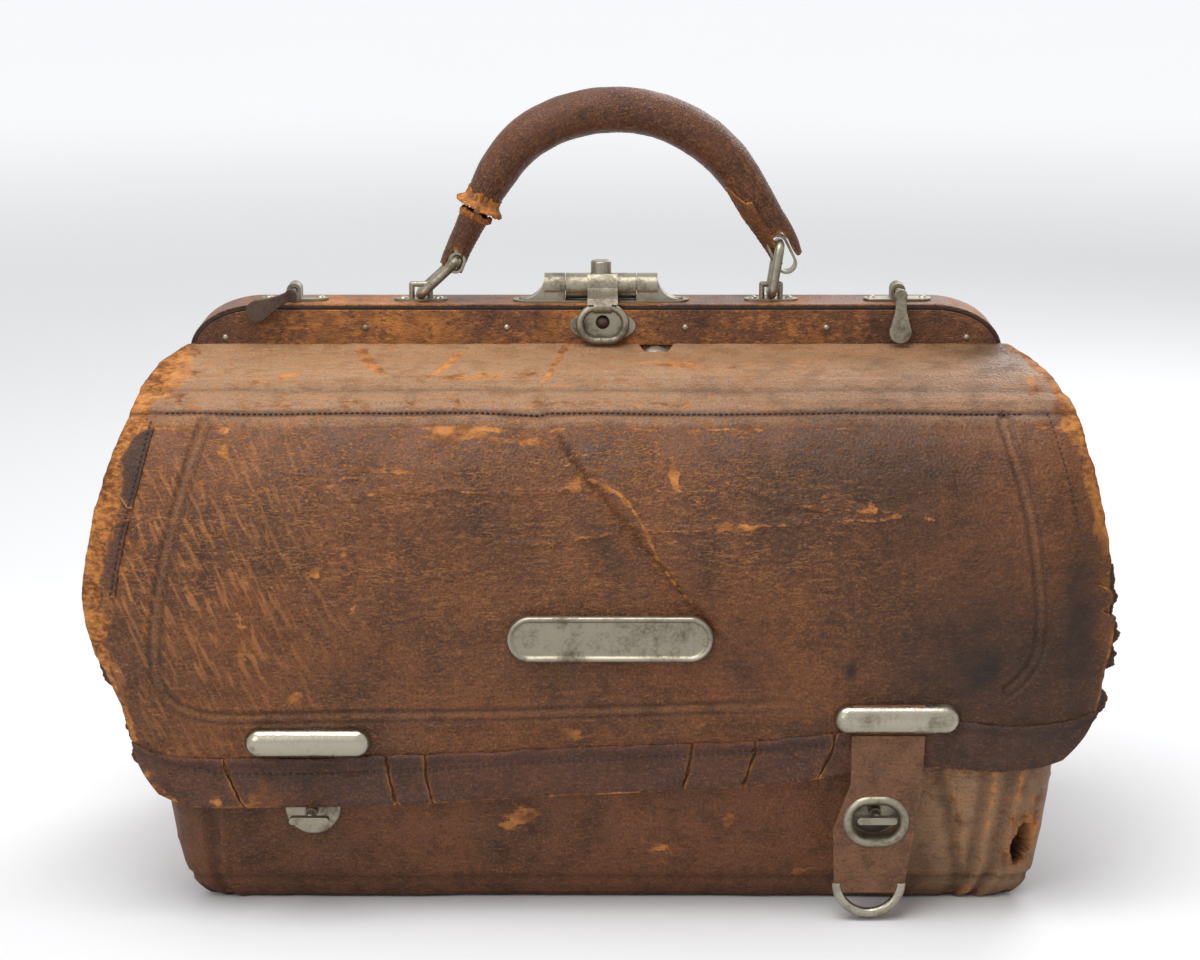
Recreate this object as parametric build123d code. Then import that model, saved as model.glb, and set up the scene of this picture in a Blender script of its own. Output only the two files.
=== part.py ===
from build123d import *

import os
from math import atan2, cos, degrees, hypot, radians, sin

# An old leather travelling bag with a hinged mouth frame, an arched handle and a large front flap.
# Millimetres. +X runs to the right seen from the front, the front faces -Y, +Z is up.
# The origin is the middle of the flat base.

os.makedirs("parts", exist_ok=True)

# General sizes
gap = 0.3  # clearance between pieces that move apart
seat = 0.05  # running clearance of a pin in its bore
leather = 3.0  # body leather
skin = 1.0  # thin leather over the frame
steel = 1.2  # frame sheet

# Mouth frame
frame_half = 203.0  # half the frame's length
frame_top = 281.0  # top of the rear jaw
frame_corner_x = 35.0  # length of the rounded end
frame_corner_z = 23.0  # height of the rounded end
mouth_z = 260.8  # lower edge of the jaw bands, where the body leather starts
jaw_half = 16.4  # half the frame's depth, outside the leather
flange_front = 14.0  # how far the rear jaw's flange reaches forward
jaw_step = 2.5  # the front jaw's top lies this far under the flange's top
lip_depth = 8.0
hinge_z = 252.5
hinge_rivet_r = 2.6
hinge_tab_half = 9.0
hinge_tab_in = 3.4  # outer tab's outer face, inside the frame's end
band_rivet_r = 1.6
band_rivet_x = (44.5, 115.0, frame_half - 18.0)
band_rivet_z = (269.5, 269.5, 264.5)

# Body: height, left, right, front, rear and corner radius of each level
base_left = 4.0 - frame_half
base_right = frame_half + 10.0
base_front = -84.0
base_rear = 94.0
body_levels = (
    (0.0, base_left, base_right, base_front, base_rear, 20.0),
    (40.0, base_left - 3.5, base_right + 3.0, -88.0, base_rear + 4.0, 22.0),
    (90.0, base_left - 9.0, base_right + 7.0, -91.5, base_rear + 6.0, 24.0),
    (150.0, base_left - 19.0, base_right + 14.0, -92.0, base_rear + 4.0, 24.0),
    (200.0, base_left - 20.0, base_right + 13.0, -86.5, base_rear - 6.0, 22.0),
    (228.0, base_left - 17.0, base_right + 8.0, -72.0, base_rear - 20.0, 18.0),
    (243.0, base_left - 14.0, base_right + 3.0, -50.0, base_rear - 42.0, 14.0),
    (252.0, base_left - 9.5, base_right - 4.0, -26.5, base_rear - 66.0, 10.0),
    (256.5, -frame_half - 2.0, frame_half + 2.0, -18.6, 19.5, 7.0),
    (mouth_z, -frame_half, frame_half, -jaw_half, jaw_half, 5.0),
)
seam_left = base_left + 19.0  # where the front and rear panels meet the gussets
seam_right = base_right - 23.0
board = 3.0
board_gap = 4.0

# Outside pocket: height, front and corner radius of each level
pocket_left = base_left - 4.0
pocket_right = base_right + 4.0
pocket_back = -60.0
pocket_levels = (
    (0.0, 0.0, 0.0, -100.0, 16.0),
    (25.0, 3.0, 1.5, -106.5, 18.0),
    (50.0, 5.0, 3.0, -112.2, 20.0),
    (80.0, 8.0, 5.5, -116.0, 22.0),
    (110.0, 12.0, 8.0, -119.0, 24.0),
    (150.0, 17.0, 11.0, -118.4, 24.0),
    (180.0, 19.0, 11.0, -114.0, 24.0),
    (205.0, 20.0, 10.0, -106.0, 22.0),
)
pocket_seam_left = pocket_left + 17.0
pocket_seam_right = pocket_right - 23.0

# Turn locks and closing strap
lock_height = 50.0  # height of the eyelet's middle above the base
turn_rise = 2.2  # the turn piece sits this far above the middle of the eyelet, which lifts over it
turn_left_x = -136.5
turn_right_x = 134.0

# Flap: section through its outer face, from the root down, and its outline seen from the front
flap_thickness = 3.0
flap_root_y = -23.6
flap_root_z = 257.25
flap_section = (
    (flap_root_y, flap_root_z),
    (-42.0, 256.2),
    (-60.0, 252.0),
    (-85.0, 240.0),
    (-105.0, 222.0),
    (-118.0, 190.0),
    (-124.0, 150.0),
    (-126.5, 110.0),
    (-124.5, 70.0),
    (-122.5, lock_height),
)
# Side edges: how far each point stands out beyond the frame's end, and its height
flap_left_edge = ((12.0, 262.0), (22.0, 240.0), (34.0, 203.0), (43.5, 150.0), (36.0, 129.0), (22.0, 102.0))
flap_right_edge = (
    (33.0, 87.5),
    (40.0, 111.0),
    (44.0, 156.0),
    (42.0, 183.0),
    (33.0, 220.0),
    (20.0, 256.0),
    (14.0, 262.0),
)
# Lower edge: place along the frame as a share of its half length, and height above the turn locks
flap_lower_edge = (
    (-1.064, 23.0),
    (-1.005, 10.0),
    (-0.872, 5.0),
    (-0.512, 6.5),
    (0.03, 12.5),
    (0.483, 19.0),
    (0.778, 25.7),
    (1.069, 24.0),
)
hem_height = 13.0
hem_thickness = 1.0
hem_end = frame_half - 7.0
plate_length = 98.0
plate_height = 22.5
plate_thickness = 1.4
plate_rim = 1.2
plate_x = 6.7
plate_z = 140.0
keeper_length = 60.0
keeper_height = 14.0
keeper_wall = 1.8
keeper_left_x = -137.0
keeper_left_z = lock_height + 39.0
keeper_right_x = 143.0
keeper_right_z = lock_height + 50.7

strap_thickness = 3.0
strap_width = 35.0
strap_x = 139.0
strap_bottom_z = 14.0
eyelet_w = 33.3
eyelet_h = 27.0
eyelet_open_w = 21.6
eyelet_open_h = 15.8
eyelet_wall = 1.0  # how far the eyelet stands proud of the strap on each side
tip_wire_r = 2.35
tip_bend_r = 15.5
turn_base_r = 13.5
turn_base_t = 2.0
turn_post_r = 2.1
turn_length = 19.0
turn_thickness = 3.5
turn_depth = 4.0
turn_boss_r = 3.1

# Frame lock
lock_x = 2.5
lock_y = -2.0
case_half = 44.2
case_plate = 1.0
case_width = 14.0
barrel_half = 28.3
drum_half = 17.7
drum_r = 6.4
drum_z = frame_top + case_plate + drum_r + 0.2
spindle_r = 2.4
hasp_width = 15.0
hasp_wall = 2.2
ring_wire_r = 1.9
ring_half_w = 11.35
ring_half_h = 8.35
ring_z = 280.3  # centre of the ring's top bar
ring_y = -jaw_half - 3.5
knuckle_length = 9.0
knuckle_wall = 0.75
button_r = 5.1
button_top = 301.4
button_travel = 2.5
escutcheon_w = 33.0
escutcheon_h = 15.5
escutcheon_z = 270.6
escutcheon_t = 0.9
stud_r = 3.5
stud_z = 272.6
stud_rise = 3.4
screw_r = 2.0

# Side clasps
clasp_x = frame_half - 51.5
clasp_z = 286.5
clasp_length = 24.0
clasp_thickness = 3.4
clasp_neck_r = 2.3
clasp_tip_r = 5.6
clasp_standoff = 2.2
clasp_left_turn = 65.0  # the left lever stands open by this angle
clasp_spindle_r = 1.7
bridge_half = 17.0
bridge_width = 10.0
bridge_wall = 1.4
bridge_rivet = 12.9

# Handle
staple_x = 88.0
staple_wire_r = 1.4
staple_plate = 1.0
staple_plate_half = 13.5
staple_plate_w = 9.0
staple_rivet = 9.0
link_wire_r = 2.4
link_length = 25.0
link_half_w = 8.5
link_bend_r = 3.5
link_left_lean = 47.4  # degrees from upright, towards +X
link_right_lean = 8.7
link_z = frame_top + staple_plate + link_wire_r + gap
loop_half_w = 4.8
loop_wall = 1.3
loop_left_slack = 2.5
loop_right_slack = 10.5
loop_left_play = 0.65
loop_right_play = 1.6
loop_lean = 24.0  # the handle's ends splay by this angle
core_thickness = 3.0
grip_rise = 71.5
grip_r = 11.2
grip_end_r = 8.8
rivet_dome = 1.2
rivet_r = 2.2

# Small stud at the flap's root
root_stud_x = 30.0
root_stud_r = 7.0
root_stud_y = -21.6
root_stud_z = 255.2
root_stud_lean = 50.0


def save(shape, name):
    """Writes one piece."""
    export_step(shape, f"parts/{name}.step")


def box(x0, x1, y0, y1, z0, z1):
    """A box between two corners."""
    middle = Pos((x0 + x1) / 2, (y0 + y1) / 2, (z0 + z1) / 2)
    return middle * Box(x1 - x0, y1 - y0, z1 - z0)


def joined(pieces):
    """One shape made of several overlapping ones."""
    return Part() + list(pieces)


def rod_x(radius, x0, x1, y, z):
    """A round rod along X."""
    return Pos((x0 + x1) / 2, y, z) * Rot(0, 90, 0) * Cylinder(radius, x1 - x0)


def rod_y(radius, y0, y1, x, z):
    """A round rod along Y."""
    return Pos(x, (y0 + y1) / 2, z) * Rot(90, 0, 0) * Cylinder(radius, y1 - y0)


def rod_z(radius, z0, z1, x, y):
    """A round rod along Z."""
    return Pos(x, y, (z0 + z1) / 2) * Cylinder(radius, z1 - z0)


def from_front(face, y0, y1):
    """Extrudes a face drawn in X and Z from y0 to y1."""
    return extrude(Plane.XZ.offset(-y1) * face, amount=y1 - y0)


def from_side(face, x0, x1):
    """Extrudes a face drawn in Y and Z from x0 to x1."""
    return extrude(Plane.YZ.offset(x0) * face, amount=x1 - x0)


def closed_face(*edges):
    """The face inside a closed chain of edges."""
    return make_face(Curve() + list(edges))


def dome(radius, rise):
    """A low round rivet head on the XY plane."""
    ball = (radius * radius + rise * rise) / (2 * rise)
    return Pos(0, 0, rise - ball) * Sphere(ball) & Pos(0, 0, rise / 2) * Cylinder(radius, rise)


def body_block(levels, inset):
    """A lofted block through rounded rectangles at each level, drawn in by inset."""
    sections = []
    for z, left, right, front, rear, radius in levels:
        width = right - left - 2 * inset
        depth = rear - front - 2 * inset
        corner = max(radius - inset, 1.0)
        middle = Pos((left + right) / 2, (front + rear) / 2, z)
        sections.append(middle * RectangleRounded(width, depth, corner))
    return loft(sections, ruled=True)


def jaw_face(inset):
    """The frame's shape seen from the front, drawn in by inset, above the mouth's lower edge."""
    straight = frame_half - frame_corner_x
    low = frame_top - frame_corner_z
    radius_x = frame_corner_x - inset
    radius_z = frame_corner_z - inset
    top = frame_top - inset
    whole = Pos(0, (low + top) / 2) * Rectangle(2 * straight, radius_z)
    for side in (-1, 1):
        corner = Pos(side * straight, low) * Ellipse(radius_x, radius_z)
        whole += corner & Pos(side * (straight + radius_x / 2), low + radius_z / 2) * Rectangle(
            radius_x, radius_z
        )
    above = Pos(0, mouth_z + frame_corner_z / 2) * Rectangle(2 * frame_half, frame_corner_z)
    return whole & above


def hinge_tab(x_out, y0, y1, reach):
    """A tab that hangs from one jaw at both ends of the frame, with the hinge rivet's hole."""
    tabs = []
    for side in (-1, 1):
        x0, x1 = sorted((side * x_out, side * (x_out - steel * 1.6)))
        tab = box(x0, x1, y0, y1, hinge_z - hinge_tab_half + 2, mouth_z + steel)
        foot_in, foot_out = sorted((side * (x_out - steel), side * reach))
        tab += box(foot_in, foot_out, y0, y1, mouth_z, mouth_z + steel)
        tab -= rod_x(hinge_rivet_r + seat, x0 - 1, x1 + 1, 0, hinge_z)
        tabs.append(tab)
    return tabs


def make_frame():
    """Both jaws, their leather covers and the rivets that join them."""
    back = jaw_half - skin
    sheet = jaw_face(skin) - jaw_face(skin + steel)
    rear = from_front(sheet, -flange_front, back) + from_front(jaw_face(skin), back - steel, back)
    tab_out = frame_half - hinge_tab_in
    for tab in hinge_tab(tab_out, -hinge_tab_half, hinge_tab_half, frame_half - skin - steel):
        rear += tab
    save(rear, "rear_jaw")
    cover = from_front(jaw_face(0) - jaw_face(skin), -flange_front, back)
    cover += from_front(jaw_face(0), back, jaw_half)
    save(cover, "rear_jaw_cover")
    lip = jaw_face(jaw_step) - jaw_face(jaw_step + steel)
    front = from_front(jaw_face(jaw_step), -back, -back + steel)
    front += from_front(lip, -back + steel, -back + lip_depth)
    front_out = tab_out - 2 * steel - gap
    reach = frame_half - jaw_step - steel
    for tab in hinge_tab(front_out, -jaw_half + leather + gap, hinge_tab_half, reach):
        front += tab
    save(front - front_jaw_relief(), "front_jaw")
    save(from_front(jaw_face(jaw_step), -jaw_half, -back), "front_jaw_cover")
    for side, name in ((-1, "left"), (1, "right")):
        x0, x1 = sorted((side * (front_out - 2 * steel - 1), side * (tab_out + 1)))
        rivet = rod_x(hinge_rivet_r, x0, x1, 0, hinge_z)
        rivet += rod_x(hinge_rivet_r + 1.8, x0, x0 + 0.9, 0, hinge_z)
        rivet += rod_x(hinge_rivet_r + 1.8, x1 - 0.9, x1, 0, hinge_z)
        save(rivet, f"hinge_rivet_{name}")
    heads = []
    for side in (-1, 1):
        for x, z in zip(band_rivet_x, band_rivet_z):
            for y, turn in ((-jaw_half, 90), (jaw_half, -90)):
                heads.append(Pos(side * x, y, z) * Rot(turn, 0, 0) * dome(band_rivet_r, 0.9))
    save(Compound(children=heads), "band_rivets")


def front_jaw_relief():
    """Room behind the front jaw's band for the rear jaw's tabs."""
    tab_out = frame_half - hinge_tab_in
    reach = hinge_tab_half + gap
    low = hinge_z - hinge_tab_half
    high = mouth_z + 2 * steel
    right = box(tab_out - 2 * steel, frame_half, -reach, reach, low, high)
    left = box(-frame_half, -tab_out + 2 * steel, -reach, reach, low, high)
    return [right, left]


def make_body():
    """Front and rear panels, gussets, bottom and the stiff board inside."""
    outer = body_block(body_levels, 0)
    inner = body_block(body_levels, leather)
    wide = 2 * frame_half
    shell = outer - inner
    save(outer & box(-wide, wide, -wide, wide, 0, leather), "bottom_panel")
    walls = shell & box(-wide, wide, -wide, wide, leather, mouth_z)
    save(walls & box(seam_left, seam_right, -wide, 0, 0, wide), "front_panel")
    save(walls & box(seam_left, seam_right, 0, wide, 0, wide), "rear_panel")
    save(walls & box(-wide, seam_left, -wide, wide, 0, wide), "gusset_left")
    save(walls & box(seam_right, wide, -wide, wide, 0, wide), "gusset_right")
    inset = leather + board_gap
    stiffener = box(
        base_left + inset,
        base_right - inset,
        base_front + inset,
        base_rear - inset,
        leather,
        leather + board,
    )
    save(fillet(stiffener.edges().filter_by(Axis.Z), body_levels[0][5]), "base_board")
    return outer


def make_pocket(body):
    """The outside pocket: front panel and two gussets, sewn onto the body."""
    levels = []
    for z, left, right, front, radius in pocket_levels:
        levels.append((z, pocket_left - left, pocket_right + right, front, pocket_back, radius))
    outer = body_block(levels, 0)
    inside = [(z, a + leather, b - leather, c + leather, d, r - leather) for z, a, b, c, d, r in levels]
    shell = outer - body_block(inside, 0) - body
    floor = outer - body
    wide = 2 * frame_half
    floor &= box(-wide, wide, -wide, base_front - 1, 0, leather)
    shell &= box(-wide, wide, -wide, base_front, leather, wide)
    save(floor, "pocket_floor")
    save(shell & box(pocket_seam_left, pocket_seam_right, -wide, 0, 0, wide), "pocket_panel")
    save(shell & box(-wide, pocket_seam_left, -wide, 0, 0, wide), "pocket_gusset_left")
    save(shell & box(pocket_seam_right, wide, -wide, 0, 0, wide), "pocket_gusset_right")
    return outer


def section_curve(points, inset):
    """The flap's section moved inwards, as points."""
    moved = []
    for i, (y, z) in enumerate(points):
        y0, z0 = points[max(i - 1, 0)]
        y1, z1 = points[min(i + 1, len(points) - 1)]
        run = hypot(y1 - y0, z1 - z0)
        moved.append((y - inset * (z1 - z0) / run, z + inset * (y1 - y0) / run))
    return moved


def flap_sheet(outer_inset, inner_inset):
    """A curved sheet between two depths under the flap's outer face."""
    outer = section_curve(flap_section, outer_inset)
    inner = section_curve(flap_section, inner_inset)
    face = closed_face(
        Spline(*outer), Line(outer[-1], inner[-1]), Spline(*inner[::-1]), Line(inner[0], outer[0])
    )
    return from_side(face, -2 * frame_half, 2 * frame_half)


def flap_y(low, high):
    """How far the flap's outer face stands forward between two heights."""
    curve = Spline(*flap_section)
    spots = [curve @ (i / 200) for i in range(201)]
    return min(spot.X for spot in spots if low <= spot.Y <= high)


def capsule(width, height):
    """A slot shape lying along X."""
    return SlotOverall(width, height)


def make_keeper(x, z, name):
    """A long bar raised on two feet, under which a strap passes."""
    back = flap_y(z - keeper_height / 2, z + keeper_height / 2) - seat
    inside = back - strap_thickness - 2 * gap
    bar = from_front(Pos(x, z) * capsule(keeper_length, keeper_height), inside - keeper_wall, inside)
    bar = fillet(bar.faces().sort_by(Axis.Y)[0].edges(), keeper_wall * 0.6)
    for side in (-1, 1):
        middle = x + side * (keeper_length / 2 - keeper_height / 4)
        bar += box(middle - 1.5, middle + 1.5, inside, back, z - 3, z + 3)
    save(bar, name)


def flap_lower_points():
    """The flap's lower edge seen from the front."""
    return [(share * frame_half, lock_height + rise) for share, rise in flap_lower_edge]


def flap_outline():
    """The flap's outline seen from the front, extruded through the flap."""
    left = [(-frame_half - out, z) for out, z in flap_left_edge]
    right = [(frame_half + out, z) for out, z in flap_right_edge]
    points = left + flap_lower_points() + right
    return from_front(closed_face(Polyline(*points, close=True)), 2 * base_front, 0)


def make_flap():
    """The flap with its hem, name plate, keeper bars and the sewn end of the strap."""
    outline = flap_outline()
    notch = box(
        root_stud_x - root_stud_r - 1.5,
        root_stud_x + root_stud_r + 1.5,
        root_stud_y - root_stud_r - 2,
        0,
        root_stud_z - 3 * root_stud_r,
        frame_top,
    )
    save((flap_sheet(0, flap_thickness) & outline) - notch, "flap_leather")
    lower = flap_lower_points()
    upper = [
        (lower[-1][0], lower[-1][1] + hem_height),
        (lower[0][0], lower[0][1] + hem_height / 2),
    ]
    strip = from_front(closed_face(Polyline(*lower, *upper, close=True)), 2 * base_front, 0)
    wide = 2 * frame_half
    strip &= box(-hem_end, hem_end, 2 * base_front, 0, 0, wide)
    save(flap_sheet(-hem_thickness, 0) & strip, "flap_hem")
    back = flap_y(plate_z - plate_height, plate_z + plate_height) - seat
    plate = from_front(Pos(plate_x, plate_z) * capsule(plate_length, plate_height), back - plate_thickness, back)
    inner = capsule(plate_length - 2 * plate_rim, plate_height - 2 * plate_rim)
    plate -= from_front(Pos(plate_x, plate_z) * inner, back - plate_thickness, back - plate_thickness / 2)
    save(plate, "name_plate")
    make_keeper(keeper_left_x, keeper_left_z, "keeper_left")
    make_keeper(keeper_right_x, keeper_right_z, "keeper_right")


def strap_back():
    """The strap's rear face, just in front of the flap under its keeper."""
    low = keeper_right_z - keeper_height / 2
    return flap_y(low, keeper_right_z + keeper_height / 2) - seat - gap


def make_strap():
    """The closing strap, hanging from its keeper, with eyelet and wire tip."""
    back = strap_back()
    front = back - strap_thickness
    top = keeper_right_z - keeper_height / 2 - 2 * gap
    half = strap_width / 2
    root = box(strap_x - half, strap_x + half, front, back, top + 2 * gap, keeper_right_z + keeper_height / 2)
    save(root, "strap_root")
    shape = closed_face(
        Polyline(
            (strap_x + half, top),
            (strap_x + half - 1, lock_height + eyelet_h / 2),
            (turn_right_x + eyelet_w / 2 + 3, lock_height),
            (turn_right_x + tip_bend_r - 2, strap_bottom_z),
            (turn_right_x - tip_bend_r - 4, strap_bottom_z),
            (turn_right_x - eyelet_w / 2 - 4, lock_height - 4),
            (strap_x - half, lock_height + eyelet_h / 2 + 5),
            (strap_x - half, top),
        ),
        Line((strap_x - half, top), (strap_x + half, top)),
    )
    hole = Pos(turn_right_x, lock_height) * Ellipse(eyelet_w / 2 - 3, eyelet_h / 2 - 3)
    save(from_front(shape - hole, front, back), "closing_strap")
    rim = Ellipse(eyelet_w / 2, eyelet_h / 2) - Ellipse(eyelet_open_w / 2, eyelet_open_h / 2)
    throat = Ellipse(eyelet_w / 2 - 3, eyelet_h / 2 - 3) - Ellipse(eyelet_open_w / 2, eyelet_open_h / 2)
    place = Pos(turn_right_x, lock_height)
    eyelet = from_front(place * rim, front - eyelet_wall, front)
    eyelet += from_front(place * throat, front, back)
    eyelet += from_front(place * rim, back, back + eyelet_wall)
    save(eyelet, "strap_eyelet")
    middle = (front + back) / 2 - 0.5
    bend_z = strap_bottom_z + tip_wire_r + 3
    arc = CenterArc((0, 0, 0), tip_bend_r, 180, 180)
    path = Plane((turn_right_x - 3, middle, bend_z), x_dir=(1, 0, 0), z_dir=(0, -1, 0)) * arc
    circle = Plane(origin=path @ 0, z_dir=path % 0) * Circle(tip_wire_r)
    wire = sweep(circle, path=path)
    save(wire - box(0, 300, front, back, strap_bottom_z, 300), "strap_tip")


def pocket_y(z):
    """The pocket's front face at a height."""
    for low, high in zip(pocket_levels, pocket_levels[1:]):
        if low[0] <= z <= high[0]:
            return low[3] + (high[3] - low[3]) * (z - low[0]) / (high[0] - low[0])
    return pocket_levels[-1][3]


def make_turn_locks(pocket):
    """Two turn locks on the pocket: a base with its post's bearing, and the turn piece."""
    z = lock_height + turn_rise
    base_back = pocket_y(z + turn_base_r / 2) + 2
    base_front = pocket_y(z) - turn_base_t - 0.6
    head_back = strap_back() - strap_thickness - eyelet_wall - 2 * gap
    boss_front = strap_back() + eyelet_wall + 2 * gap
    for x, name in ((turn_left_x, "left"), (turn_right_x, "right")):
        base = rod_y(turn_base_r, base_front, base_back, x, z)
        base = fillet(base.faces().sort_by(Axis.Y)[0].edges(), 1.2)
        base += rod_y(turn_boss_r, boss_front, base_front + 0.5, x, z)
        base -= rod_y(turn_post_r + seat, boss_front - 1, base_front + 1, x, z)
        save(base - pocket, f"turn_base_{name}")
        post = rod_y(turn_post_r, head_back, base_front + 0.7, x, z)
        head = Pos(x, z) * capsule(turn_length, turn_thickness)
        piece = post + from_front(head, head_back - turn_depth, head_back)
        save(piece, f"turn_button_{name}")


def make_root_stud(body):
    """The low round stud on the strip of leather behind the flap's root."""
    place = Pos(root_stud_x, root_stud_y, root_stud_z) * Rot(root_stud_lean, 0, 0)
    save(place * dome(root_stud_r, 2.0) - body, "root_stud")


def make_lock():
    """The frame lock: case, spindle, screws, drum with hasp, button, ring, escutcheon and stud."""
    plate_top = frame_top + case_plate
    block_half = drum_r - 0.7
    foot = Pos(lock_x, lock_y) * SlotOverall(2 * case_half, case_width)
    solids = [Pos(0, 0, frame_top) * extrude(foot, amount=case_plate)]
    holes = []
    for side in (-1, 1):
        x_in = lock_x + side * (drum_half + gap)
        x_out = lock_x + side * barrel_half
        x0, x1 = sorted((x_in, x_out))
        block = Pos(lock_y, drum_z) * Circle(drum_r)
        block += Pos(lock_y, (frame_top + drum_z) / 2) * Rectangle(2 * block_half, drum_z - frame_top)
        solids.append(from_side(block, x0, x1))
        x_tip = lock_x + side * (case_half - 5)
        x_mid = lock_x + side * (barrel_half + 3.2)
        sweep_face = closed_face(
            Polyline(
                (x_tip, plate_top + 0.4),
                (x_tip, frame_top + 0.2),
                (x_in, frame_top + 0.2),
                (x_in, drum_z + drum_r * 0.6),
                (x_out, drum_z + drum_r * 0.6),
            ),
            ThreePointArc(
                (x_out, drum_z + drum_r * 0.6), (x_mid, plate_top + 3.6), (x_tip, plate_top + 0.4)
            ),
        )
        solids.append(from_front(sweep_face, lock_y - block_half + 0.8, lock_y + block_half - 0.8))
        hole_x = lock_x + side * (case_half - 5)
        holes.append(rod_z(screw_r + seat, frame_top - 1, plate_top + 1, hole_x, lock_y))
    spindle_end = barrel_half - 2
    holes.append(rod_x(spindle_r, lock_x - spindle_end, lock_x + spindle_end, lock_y, drum_z))
    save(joined(solids) - holes, "lock_case")
    save(rod_x(spindle_r, lock_x - spindle_end, lock_x + spindle_end, lock_y, drum_z), "lock_spindle")
    screws = []
    for side in (-1, 1):
        head = Cylinder(screw_r, 1.6) - Pos(0, 0, 0.7) * Box(2 * screw_r + 1, 0.7, 0.6)
        screws.append(Pos(lock_x + side * (case_half - 5), lock_y, frame_top + 0.8) * head)
    save(Compound(children=screws), "lock_screws")
    make_hasp()
    oval = Pos(lock_x + 0.8, escutcheon_z) * Ellipse(escutcheon_w / 2, escutcheon_h / 2)
    front = -jaw_half - escutcheon_t
    shield = from_front(oval, front, -jaw_half)
    save(shield - rod_y(stud_r * 0.6, front - 1, 0, lock_x + 0.8, stud_z), "lock_escutcheon")
    knob = Pos(lock_x + 0.8, front, stud_z) * Rot(90, 0, 0) * dome(stud_r, stud_rise)
    knob += rod_y(stud_r * 0.6, front, -jaw_half, lock_x + 0.8, stud_z)
    save(knob, "lock_stud")


def make_hasp():
    """The drum with its arm and knuckle, the push button on top and the pull ring."""
    x0 = lock_x + 0.8 - hasp_width / 2
    x1 = lock_x + 0.8 + hasp_width / 2
    drum = rod_x(drum_r, lock_x - drum_half, lock_x + drum_half, lock_y, drum_z)
    arm_r = drum_r + hasp_wall
    rim = radians(52)
    start = (lock_y - arm_r * cos(rim), drum_z + arm_r * sin(rim))
    knee_z = ring_z + 4.6
    knuckle_r = ring_wire_r + gap + knuckle_wall
    low = frame_top + case_plate + 1.0
    arm = closed_face(
        ThreePointArc(
            start,
            (lock_y - arm_r * cos(rim / 2), drum_z + arm_r * sin(rim / 2)),
            (lock_y - arm_r, drum_z),
        ),
        Polyline(
            (lock_y - arm_r, drum_z),
            (ring_y + 5.5, knee_z + 0.8),
            (ring_y - 1.0, knee_z),
            (ring_y - knuckle_r * 0.8, ring_z + knuckle_r * 0.6),
            (ring_y, ring_z),
            (ring_y + knuckle_r * 0.9, low),
            (lock_y - drum_r * 0.8, low),
            (lock_y, drum_z),
            start,
        ),
    )
    hasp = drum + from_side(arm, x0, x1)
    knuckle_x = lock_x + 0.8
    hasp += rod_x(
        knuckle_r, knuckle_x - knuckle_length / 2, knuckle_x + knuckle_length / 2, ring_y, ring_z
    )
    for side in (-1, 1):
        near = knuckle_x + side * knuckle_length / 2
        cut0, cut1 = sorted((near, near + side * 12))
        hasp -= rod_x(ring_wire_r + 2 * gap, cut0, cut1, ring_y, ring_z)
        hasp -= box(cut0, cut1, ring_y - 6, ring_y + 3, ring_z - 6, ring_z)
    hasp -= rod_x(ring_wire_r + gap, knuckle_x - 6, knuckle_x + 6, ring_y, ring_z)
    hasp -= rod_x(spindle_r + seat, lock_x - 30, lock_x + 30, lock_y, drum_z)
    well = drum_z + spindle_r + seat
    hasp -= rod_z(button_r + gap, well + 0.2, button_top + 9, lock_x, lock_y)
    save(hasp, "lock_hasp")
    foot = well + 0.4 + button_travel
    button = rod_z(button_r, foot, button_top, lock_x, lock_y)
    button = fillet(button.edges().sort_by(Axis.Z)[-1], 1.0)
    save(button, "lock_button")
    straight = ring_half_w - ring_half_h
    center_z = ring_z - ring_half_h
    ring = None
    for side in (-1, 1):
        bow = Pos(knuckle_x + side * straight, ring_y, center_z) * Rot(90, 0, 0)
        half = bow * Torus(ring_half_h, ring_wire_r)
        x0, x1 = sorted((knuckle_x + side * straight, knuckle_x + side * 40))
        half &= box(x0, x1, ring_y - 9, ring_y + 9, center_z - 20, center_z + 20)
        ring = half if ring is None else ring + half
        bar_z = center_z + side * ring_half_h
        ring += rod_x(ring_wire_r, knuckle_x - straight, knuckle_x + straight, ring_y, bar_z)
    save(ring, "lock_ring")


def make_clasps():
    """Two side clasps: a riveted bridge, its spindle and the teardrop lever in front of the band."""
    back = -jaw_half - clasp_standoff
    front = back - clasp_thickness
    for side, name, turn in ((-1, "left", clasp_left_turn), (1, "right", 0)):
        x = side * clasp_x
        plate = Pos(x, 0) * SlotOverall(2 * bridge_half, bridge_width)
        bridge = Pos(0, 0, frame_top) * extrude(plate, amount=bridge_wall)
        tunnel_r = clasp_spindle_r + 2 * gap + bridge_wall
        bridge += rod_y(tunnel_r, -bridge_width / 2, bridge_width / 2, x, clasp_z)
        bridge += box(x - tunnel_r, x + tunnel_r, -bridge_width / 2, bridge_width / 2, frame_top, clasp_z)
        bridge -= rod_y(clasp_spindle_r + seat, -bridge_width, bridge_width, x, clasp_z)
        save(bridge, f"clasp_bridge_{name}")
        long = clasp_length - clasp_tip_r
        lever = rod_y(clasp_neck_r + 0.8, front, back, 0, 0)
        lever += rod_y(clasp_tip_r, front, back, 0, -long)
        neck = closed_face(
            Polyline(
                (-clasp_neck_r, 0),
                (clasp_neck_r, 0),
                (clasp_neck_r + 0.5, -long * 0.4),
                (clasp_tip_r * 0.96, -long + 1),
                (-clasp_tip_r * 0.96, -long + 1),
                (-clasp_neck_r - 0.5, -long * 0.4),
                (-clasp_neck_r, 0),
            )
        )
        lever += from_front(neck, front, back)
        lever += rod_y(clasp_spindle_r, back - 1, bridge_width / 2 - 0.5, 0, 0)
        save(Pos(x, 0, clasp_z) * Rot(0, turn, 0) * lever, f"clasp_lever_{name}")


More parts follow.
